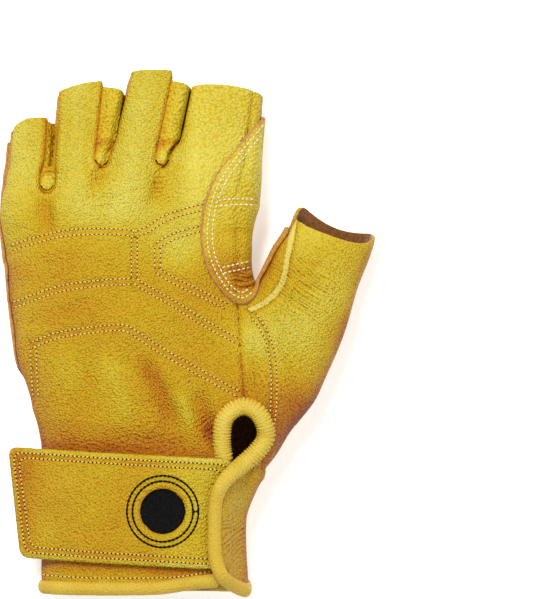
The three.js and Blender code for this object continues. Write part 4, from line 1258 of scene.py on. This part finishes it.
# The panels: the node each replaces, its slot, thickness, edge form and materials
DRESSED = {
    "overlay": ("palm_overlay", "leather", (OVERLAY, 0.6, 0.7), [leather, suede, raw_edge]),
    "welt": ("thumb_welt", "welt_leather", (LEATHER, 0.12), [pale_leather, suede, leather]),
}
for name, mesh in panels.items():
    plain_node = name if name.startswith("fourchette") else name + "_panel"
    node, slot, form, outside = DRESSED.get(
        name, (plain_node, "leather", (LEATHER, 0.12), [leather, suede, leather]),
    )
    mesh = {key: mesh[key] for key in ("p", "t", *VALUES)}
    # The welt gets less painted shade and a painted highlight along its length.
    if name == "welt":
        mesh["crease"], mesh["wear"] = 0.3 * mesh["crease"], mesh["wear"] + 0.45
    closed = thickened(mesh, *form)
    closed["p"][:, 2] = np.maximum(closed["p"][:, 2], 0)
    piece(name + "_leather", closed, outside, node)


def joined(meshes):
    """Several meshes as one."""
    start = np.cumsum([0] + [len(mesh["p"]) for mesh in meshes])
    t = [mesh["t"] + first for mesh, first in zip(meshes, start)]
    return dict(p=np.vstack([mesh["p"] for mesh in meshes]), t=np.vstack(t))


def tube_faces(rings, sides):
    """The triangles of a closed tube whose points are listed ring by ring."""
    i, j = np.meshgrid(np.arange(rings - 1), np.arange(sides), indexing="ij")
    a, b = i * sides + j, i * sides + (j + 1) % sides
    k = np.arange(1, sides - 1)
    return np.concatenate([
        np.stack([a, b, b + sides], -1).reshape(-1, 3),
        np.stack([a, b + sides, a + sides], -1).reshape(-1, 3),
        np.stack([0 * k, k + 1, k], 1),
        np.stack([0 * k, k, k + 1], 1) + (rings - 1) * sides,
    ])


# Stitches
def tree_of(*meshes):
    one = joined(meshes)
    return BVHTree.FromPolygons(one["p"].tolist(), one["t"].tolist())


def laid(tree, line, below=False):
    """Where points of a plan line lie on a surface, from above or from below, and its normals."""
    start, way = (-30, Vector((0, 0, 1))) if below else (80, Vector((0, 0, -1)))
    spots, ways = [], []
    for x, y in line:
        hit, normal, *_ = tree.ray_cast(Vector((x, y, start)), way)
        spots.append(hit if hit else (math.nan,) * 3)
        ways.append(normal if hit else (0, 0, 1))
    return np.array(spots, float), np.array(ways, float)


# The rings of a stitch: place along it, width and rise
STITCH_SHAPE = [
    (-0.5, 0.3, -0.75), (-0.38, 0.8, 0.05), (-0.15, 1.0, 0.4), (0.15, 1.0, 0.4), (0.38, 0.8, 0.05),
    (0.5, 0.3, -0.75),
]
SIDES = 6
sewn = {name: [] for name in threads}


def add_stitch(kind, start, end, normal, radius, share):
    middle, run = (start + end) / 2, end - start
    length = np.linalg.norm(run) * share
    along = run / np.linalg.norm(run)
    side = np.cross(along, normal)
    side /= max(np.linalg.norm(side), 1e-9)
    up = np.cross(side, along)
    turn = 2 * math.pi * np.arange(SIDES) / SIDES
    rings = [
        middle + along * at * length + up * (rise + 0.1) * radius
        + radius * size * (np.cos(turn)[:, None] * side + 0.8 * np.sin(turn)[:, None] * up)
        for at, size, rise in STITCH_SHAPE
    ]
    sewn[kind].append(np.array(rings))


# A needle hole is drawn as a small dark cap on the leather: painted shade of the hole.
def add_hole(kind, spot, normal, radius):
    side = np.cross(normal, (0.3, 1, 0))
    side /= np.linalg.norm(side)
    other = np.cross(normal, side)
    turn = 2 * math.pi * np.arange(SIDES) / SIDES
    rings = [
        spot + normal * rise
        + size * radius * (np.cos(turn)[:, None] * side + np.sin(turn)[:, None] * other)
        for size, rise in ((1.15, -0.15), (0.8, 0.07), (0.2, 0.09))
    ]
    sewn[kind].append(np.array(rings))


def sew(
    tree, line, thread="beige", hole="hole", pitch=1.75, radius=0.31, share=0.72, below=False,
    punch=0.37,
):
    """A row of stitches along a plan line on a surface, with the needle holes between them."""
    spots, ways = laid(tree, spaced(line, pitch), below)
    for a, b, normal in zip(spots, spots[1:], ways):
        if np.isnan(a[0]) or np.isnan(b[0]) or np.linalg.norm(b - a) > 2.2 * pitch:
            continue
        if below and normal[2] > -0.35:
            continue
        add_stitch(thread, a, b, normal, radius, share)
    for spot, normal in zip(spots, ways):
        if hole and not np.isnan(spot[0]):
            add_hole(hole, spot, normal, punch)


def sew_double(tree, line, **how):
    for side in (-ROW_GAP, ROW_GAP):
        sew(tree, shifted(line, side), **how)


def in_region(line, outline, distance):
    """The part of a plan line that keeps that far inside an outline."""
    return line[outline_distance(line, outline) < -distance]


back_tree = tree_of(panels["back"])
palm_tree = tree_of(panels["palm"], panels["thumb"])
overlay_tree = tree_of(panels["overlay"])
for line in QUILTING:
    fine = spaced(line, 0.5)
    sew_double(back_tree, fine[outline_distance(fine, overlay_outline) > 1])
over_back = [row for row in overlay_edge[:-3] if row[1] < 1.1 * HAND_LENGTH]
WHITE = dict(thread="white", hole=None, pitch=1.85, radius=0.34, share=0.74)
for inset in (2.0, 4.0):
    sew(overlay_tree, shifted(np.array(over_back), inset), **WHITE)
for row in OVERLAY_ROWS:
    fine = in_region(spaced(row, 0.5), overlay_outline, 4.2)
    sew_double(overlay_tree, fine, **WHITE)
thumb_row = smooth_line(seen((254, 316), (264, 330), (271, 350), (274, 378), (273, 412), (268, 446)))
sew_double(palm_tree, thumb_row, pitch=1.7)
hem_row = smooth_line(seen((42, 574), (100, 576), (175, 575), (216, 568)))
sew(back_tree, hem_row, "tan", "dark_hole", 1.75)

# Small stitches round the bottoms of the slots between the fingers
web_tree = tree_of(panels["back"], *[panels[name] for name in panels if name.startswith("fourchette")])
for x in CROTCHES:
    turn = np.radians(np.linspace(195, 345, 16))
    row = arc(x, HAND_LENGTH - web_drop(x), SLOT_RADIUS - 0.1, turn)
    sew(web_tree, row, "dark_hole", "dark_hole", 1.3, 0.3, 0.5, punch=0.4)

# Rows on the palm side
palm_rows = [
    [(-50, 155), (-16, 164.5), (24.5, 162.5), (41, 159)],
    [(-48, 128), (-16, 137.5), (20, 138), (40, 137.5)],
    [(-52, 143.5), (-40, 149.5), (-23, 152.8), (-19.2, 149), (-23, 143.6), (-52, 134)],
]
for rows in palm_rows:
    sew_double(overlay_tree, smooth_line(np.array(rows, float)), **WHITE, below=True)
for inset in (2.0, 4.0):
    sew(overlay_tree, shifted(overlay_edge_palm, inset), **WHITE, below=True)
    for finger in FINGERS:
        along, side = finger_axes(finger)
        end = root_of(finger) + along * (finger["length"] - OVERLAY_END - inset)
        across = side * finger["width"] / 2
        sew(overlay_tree, np.array([end - across, end + across]), **WHITE, below=True)
for inset in (-2.0, -4.2):
    sew(palm_tree, shifted(thumb_seam_palm[:-14], inset), below=True)

# Binding
section = hand_section(np.zeros(1))
cx, half, cz, tall = (float(v[0]) for v in section[:4])
inset = -LEATHER / 2
first = math.acos(((SLIT_X + 2.5) / (half + inset)) ** (ROUNDNESS / 2))
turn = np.linspace(first, 2 * math.pi - 0.15, 25)
power = 2 / ROUNDNESS
ring_x = cx + np.sign(np.cos(turn)) * np.abs(np.cos(turn)) ** power * (half + inset)
ring_up = np.sign(np.sin(turn)) * np.abs(np.sin(turn)) ** power
ring_y = BINDING_RADIUS + np.where(ring_up > 0, 3 * smoothstep(ring_x, 0, SLIT_X), 0)
ring_z = np.maximum(cz + ring_up * (tall + inset), SOLE + LEATHER / 2)
hem = np.stack([ring_x, ring_y, ring_z], 1)
edge = np.vstack([flap_edge, teardrop])
skin_spots, _ = laid(tree_of(skin), edge)
edge_z = skin_spots[:, 2] + 0.35 + flap_lift(edge[:, 0], edge[:, 1])
tail = np.array([(31.6, 54.0, 0.0), (31.2, 50.5, 0.0)])
tail[:, 2] = hand_top(tail[:, 0], tail[:, 1]) - (0.4, 1.4)
# The binding's tube: how far its rings are apart, and the points of each
BINDING_STEP = 0.35
BINDING_SIDES = 22
binding_line = smooth_line(np.vstack([hem, np.column_stack([edge, edge_z]), tail]), BINDING_STEP)


def swept(line, outward, wide, tall, sides, fold=None):
    """A closed tube along a line; wide lies along the leather and tall stands off it."""
    step = np.gradient(line, axis=0)
    step /= np.linalg.norm(step, axis=1)[:, None]
    out = outward - (outward * step).sum(1)[:, None] * step
    out /= np.linalg.norm(out, axis=1)[:, None]
    side = np.cross(step, out)
    turn = 2 * math.pi * np.arange(sides) / sides
    size = np.ones((len(line), sides)) if fold is None else fold(turn)
    p = (
        line[:, None] + (size * np.cos(turn) * wide[:, None])[..., None] * side[:, None]
        + (size * np.sin(turn) * tall[:, None])[..., None] * out[:, None]
    )
    return dict(p=p.reshape(-1, 3), t=tube_faces(len(line), sides))


run = length_run(binding_line)
flap_start = run[np.argmin(np.hypot(*(binding_line[:, :2] - flap_edge[1]).T))]
flap_share = smoothstep(run, flap_start - 8, flap_start)
radial = binding_line - (cx, 0, cz)
radial[:, 1] = 0
radial[:, 0] *= (tall / half) ** 2
radial /= np.linalg.norm(radial, axis=1)[:, None]
outward = radial * (1 - flap_share)[:, None] + flap_share[:, None] * (0, 0, 1)
gather = np.clip(bump(np.hypot(*(binding_line[:, :2] - (TEARDROP_X, TEARDROP_Y)).T), 17) * 1.6, 0.15, 1)
rng = np.random.default_rng(5)
knots = np.arange(0, run[-1] + 2)
beat = np.interp(run, knots, rng.uniform(0.7, 1.3, len(knots)))
ribs = np.sin(2 * math.pi * np.cumsum(beat) * BINDING_STEP / 1.25)
ends = np.minimum(smoothstep(run, -0.8, 2.2), smoothstep(run[-1] - run, -0.8, 2.2))


def gathered(turn):
    across = 0.12 + 0.88 * np.abs(np.cos(turn)) ** 1.5
    return 1 + 0.085 * (gather * ribs)[:, None] * across + 0.02 * swell(binding_line, 9, 9)[:, None]


wide = (BINDING_RADIUS + 0.45 + 0.95 * gather) * ends
tall = BINDING_RADIUS * (0.93 + 0.17 * gather) * ends
tube = swept(binding_line, outward, wide, tall, BINDING_SIDES, gathered)
turn = 2 * math.pi * np.arange(BINDING_SIDES) / BINDING_SIDES
# Painted shade between the gathered ribs and on the tube's sides; the tube is paler where it is gathered.
tube["crease"] = (0.42 * gather[:, None] * (1 - ribs)[:, None] * (0.08 + np.abs(np.cos(turn)))).ravel()
tube["wear"] = np.repeat(0.14 + 0.66 * gather + 0.1 * swell(binding_line, 12, 14), BINDING_SIDES)
tube["coarse"] = np.zeros(len(tube["p"]))
tube["p"][:, 2] = np.maximum(tube["p"][:, 2], 0)
piece("binding_leather", tube, [binding_leather], "cuff_binding")


# Strap: a sheet laid over the cuff, cut to its outline and turned at its edges
def strap_under(x, y):
    leaves = -0.34 * CUFF_WIDTH
    return hand_top(np.maximum(x, leaves), y) + STRAP_LIFT - STRAP_SLOPE * np.maximum(leaves - x, 0)


def strap_middle(x):
    return STRAP_Y + (x - HOLE_X) * math.tan(math.radians(STRAP_TURN))


def rounded_outline(corners, radius):
    made = []
    for before, corner, after in zip(np.roll(corners, 1, 0), corners, np.roll(corners, -1, 0)):
        a = corner + (before - corner) * radius / np.linalg.norm(before - corner)
        b = corner + (after - corner) * radius / np.linalg.norm(after - corner)
        for t in np.linspace(0, 1, 8):
            made.append((1 - t) ** 2 * a + 2 * t * (1 - t) * corner + t**2 * b)
    return np.array(made)


half_strap = STRAP_HEIGHT / 2
strap_end = STRAP_RIGHT + 4.5
strap_corners = np.array([
    (strap_end, strap_middle(strap_end) + half_strap),
    (STRAP_LEFT, strap_middle(STRAP_LEFT) + half_strap),
    (STRAP_LEFT + STRAP_RAKE, strap_middle(STRAP_LEFT) - half_strap),
    (strap_end, strap_middle(strap_end) - half_strap),
])
strap_outline = rounded_outline(strap_corners, STRAP_CORNER)


def plan_sheet(low, high, step):
    xs, ys = np.arange(low[0], high[0] + step, step), np.arange(low[1], high[1] + step, step)
    x, y = np.meshgrid(xs, ys, indexing="ij")
    index = np.arange(x.size).reshape(x.shape)
    a, b, c, d = index[:-1, :-1], index[1:, :-1], index[1:, 1:], index[:-1, 1:]
    t = np.stack([np.stack([a, b, c], -1), np.stack([a, c, d], -1)]).reshape(-1, 3)
    return np.stack([x.ravel(), y.ravel(), 0 * x.ravel()], 1), t


def snapped(p, away, reach):
    """Moves points that are closer than reach to an edge onto it, so that a cut there is smooth."""
    for _ in range(3):
        value = away(p)
        slope = np.stack([away(p + (0.02, 0, 0)) - value, away(p + (0, 0.02, 0)) - value], 1) / 0.02
        slope /= np.maximum(np.hypot(*slope.T), 1e-6)[:, None]
        near = np.abs(value) < reach
        p[near, :2] -= value[near, None] * slope[near]
    value = away(p)
    return np.where(np.abs(value) < 0.01, 0, value)


def strap_hole(p):
    return np.hypot(p[:, 0] - HOLE_X, p[:, 1] - STRAP_Y) - HOLE_RADIUS


STRAP_GRID = 0.55
SNAP_REACH = 0.28
p, t = plan_sheet(strap_corners.min(0) - 1, strap_corners.max(0) + 1, STRAP_GRID)
edge_away = -snapped(p, lambda q: outline_distance(q, strap_outline), SNAP_REACH)
hole_away = snapped(p, strap_hole, SNAP_REACH)
inner = np.minimum(edge_away, hole_away)
lower = 0.65 * bump(inner, 0.75) + 0.22 * bump(edge_away - 3.1, 1.9) - 0.15 * bump(edge_away - 1.1, 0.9)
lower += 0.12 * swell(p, 21, 22) + 0.2 * bump(hole_away - 4.1, 1.8)
p[:, 2] = strap_under(p[:, 0], p[:, 1]) + STRAP_THICKNESS - lower
# Painted shade at the strap's left end, between its stitched rows and round its hole; painted light towards
# its right end; lighter along its edge.
left_end_shade = smoothstep(p[:, 0], STRAP_LEFT + 16, STRAP_LEFT + 2)
right_end_light = smoothstep(p[:, 0], HOLE_X - 16, HOLE_X + 14)
sheet = dict(
    p=p, t=t, crease=0.12 * bump(edge_away - 3.1, 1.6) + 0.36 * left_end_shade + 0.22 * bump(hole_away, 0.8),
    wear=0.5 * bump(edge_away - 1.0, 1.0) + 0.1 * swell(p, 22, 20) + 0.35 * right_end_light,
    coarse=np.zeros(len(p)),
    edge=-edge_away, hole=-hole_away,
)
sheet = clipped(sheet, sheet["edge"])
sheet = welded(clipped(sheet, sheet["hole"]), 0.05)
strap_tree = tree_of(sheet)
sheet = {key: sheet[key] for key in ("p", "t", "crease", "wear", "coarse")}
closed = thickened(sheet, STRAP_THICKNESS - 0.1, 0.45)
closed["face"] = np.where(closed["face"] == 2, 0, closed["face"])
piece("strap_leather", closed, [leather, suede], "cuff_strap")
for inset in (2.1, 4.2):
    inner_corners = strap_corners + (-1, -1) * np.sign(strap_corners - strap_corners.mean(0)) * inset
    row = rounded_outline(inner_corners, STRAP_CORNER)
    row = np.vstack([row, row[:1]])
    sew(strap_tree, row, "tan", "dark_hole", 1.65, 0.36, 0.68, punch=0.42)
for radius in (12.0, 14.2):
    turn = np.linspace(0, 2 * math.pi, 90)
    row = arc(HOLE_X, STRAP_Y, radius, turn)
    sew(strap_tree, row, "black", "black", 1.7, 0.42, 0.9, punch=0.4)
row = np.array([(HOLE_X + 11.8, STRAP_Y), (HOLE_X + 14.4, STRAP_Y)])
sew(strap_tree, row, "black", None, 1.3, 0.42, 1.0)


# Loop patch: a base sheet with a pile of small black loops where the hole shows it
p, t = plan_sheet((PATCH_LEFT, STRAP_Y - PATCH_HEIGHT / 2), (PATCH_RIGHT, STRAP_Y + PATCH_HEIGHT / 2), 1.0)
p[:, 2] = hand_top(p[:, 0], p[:, 1]) + LAYER_GAP + PATCH_THICKNESS
closed = thickened(dict(p=p, t=t), PATCH_THICKNESS, 0.1)
piece("patch_base", closed, [loops], "loop_patch")
rng = np.random.default_rng(11)
loop_parts = []
for x in np.arange(HOLE_X - HOLE_RADIUS - 1.5, HOLE_X + HOLE_RADIUS + 1.5, 0.62):
    for y in np.arange(STRAP_Y - HOLE_RADIUS - 1.5, STRAP_Y + HOLE_RADIUS + 1.5, 0.55):
        x0, y0 = x + rng.normal(0, 0.12), y + rng.normal(0, 0.12)
        if math.hypot(x0 - HOLE_X, y0 - STRAP_Y) > HOLE_RADIUS + 1.2:
            continue
        way = rng.uniform(0, math.pi)
        size = rng.uniform(0.32, 0.5)
        turn = np.linspace(-0.35, math.pi + 0.35, 7)
        base = float(hand_top(np.array([x0]), np.array([y0]))[0]) + LAYER_GAP + PATCH_THICKNESS
        lean = rng.normal(0, 0.25)
        out, up = size * np.cos(turn), size * np.sin(turn)
        line = np.stack([
            x0 + out * math.cos(way), y0 + out * math.sin(way) + lean * up, base + 0.1 + 1.1 * up,
        ], 1)
        across = np.tile((-math.sin(way), math.cos(way), 0.0), (7, 1))
        width = np.full(7, 0.1)
        loop_parts.append(swept(line, across, width, width, 5))
piece("patch_loops", joined(loop_parts), [loops])

# All stitches of one thread are one piece
for kind, parts in sewn.items():
    made = joined([dict(p=rings.reshape(-1, 3), t=tube_faces(len(rings), SIDES)) for rings in parts])
    made["p"][:, 2] = np.maximum(made["p"][:, 2], 0)
    piece(kind + "_stitches", made, [threads[kind]])

# Floor, light and camera
floor_mesh = bpy.data.meshes.new("floor")
floor_mesh.from_pydata([(-3, -3, 0), (3, -3, 0), (3, 3, 0), (-3, 3, 0)], [], [(0, 1, 2, 3)])
floor = bpy.data.objects.new("floor", floor_mesh)
bpy.context.scene.collection.objects.link(floor)
g = Graph("white_paper")
paper = g.ramp(g.noise(6.0), [(0.2, (246, 246, 246)), (0.8, (250, 250, 250))])
floor_mesh.materials.append(g.finish(
    Base_Color=paper, Roughness=0.9, Specular_IOR_Level=0.1, Emission_Color=(1, 1, 1, 1),
    Emission_Strength=0.42,
))

world = bpy.data.worlds.new("studio")
world.use_nodes = True
background = world.node_tree.nodes["Background"]
background.inputs["Color"].default_value = (1, 1, 1, 1)
background.inputs["Strength"].default_value = 0.3
bpy.context.scene.world = world

centre = np.array([0.02, 0.0, 0.015])


def area_light(name, place_at, size, power, colour=(1, 1, 1)):
    light = bpy.data.lights.new(name, "AREA")
    light.size = size
    light.energy = power
    light.color = colour
    lamp = bpy.data.objects.new(name, light)
    lamp.location = place_at
    way = Vector(centre) - Vector(place_at)
    lamp.rotation_euler = way.to_track_quat("-Z", "Y").to_euler()
    bpy.context.scene.collection.objects.link(lamp)


area_light("key", (-0.4, 0.8, 1.35), 0.5, 25, (1, 0.985, 0.95))
area_light("fill", (0.6, -0.5, 0.9), 0.8, 5.2)
area_light("rim", (0.05, 0.95, 0.5), 0.7, 1.2)

camera_data = bpy.data.cameras.new("camera")
camera = bpy.data.objects.new("camera", camera_data)
bpy.context.scene.collection.objects.link(camera)
MIDDLE = place([*seen((274.5, 299.5))[0], 0])
DISTANCE = 1.6
LOOK_Z = 0.015
camera_data.sensor_fit = "HORIZONTAL"
camera_data.sensor_width = 36
camera_data.lens = camera_data.sensor_width * (DISTANCE - LOOK_Z) / (PHOTO_WIDTH * PHOTO_SCALE / 1000)
camera.location = (MIDDLE[0], MIDDLE[1], DISTANCE)
camera.rotation_euler = (0, 0, 0)
bpy.context.scene.camera = camera
bpy.context.scene.view_settings.view_transform = "Standard"
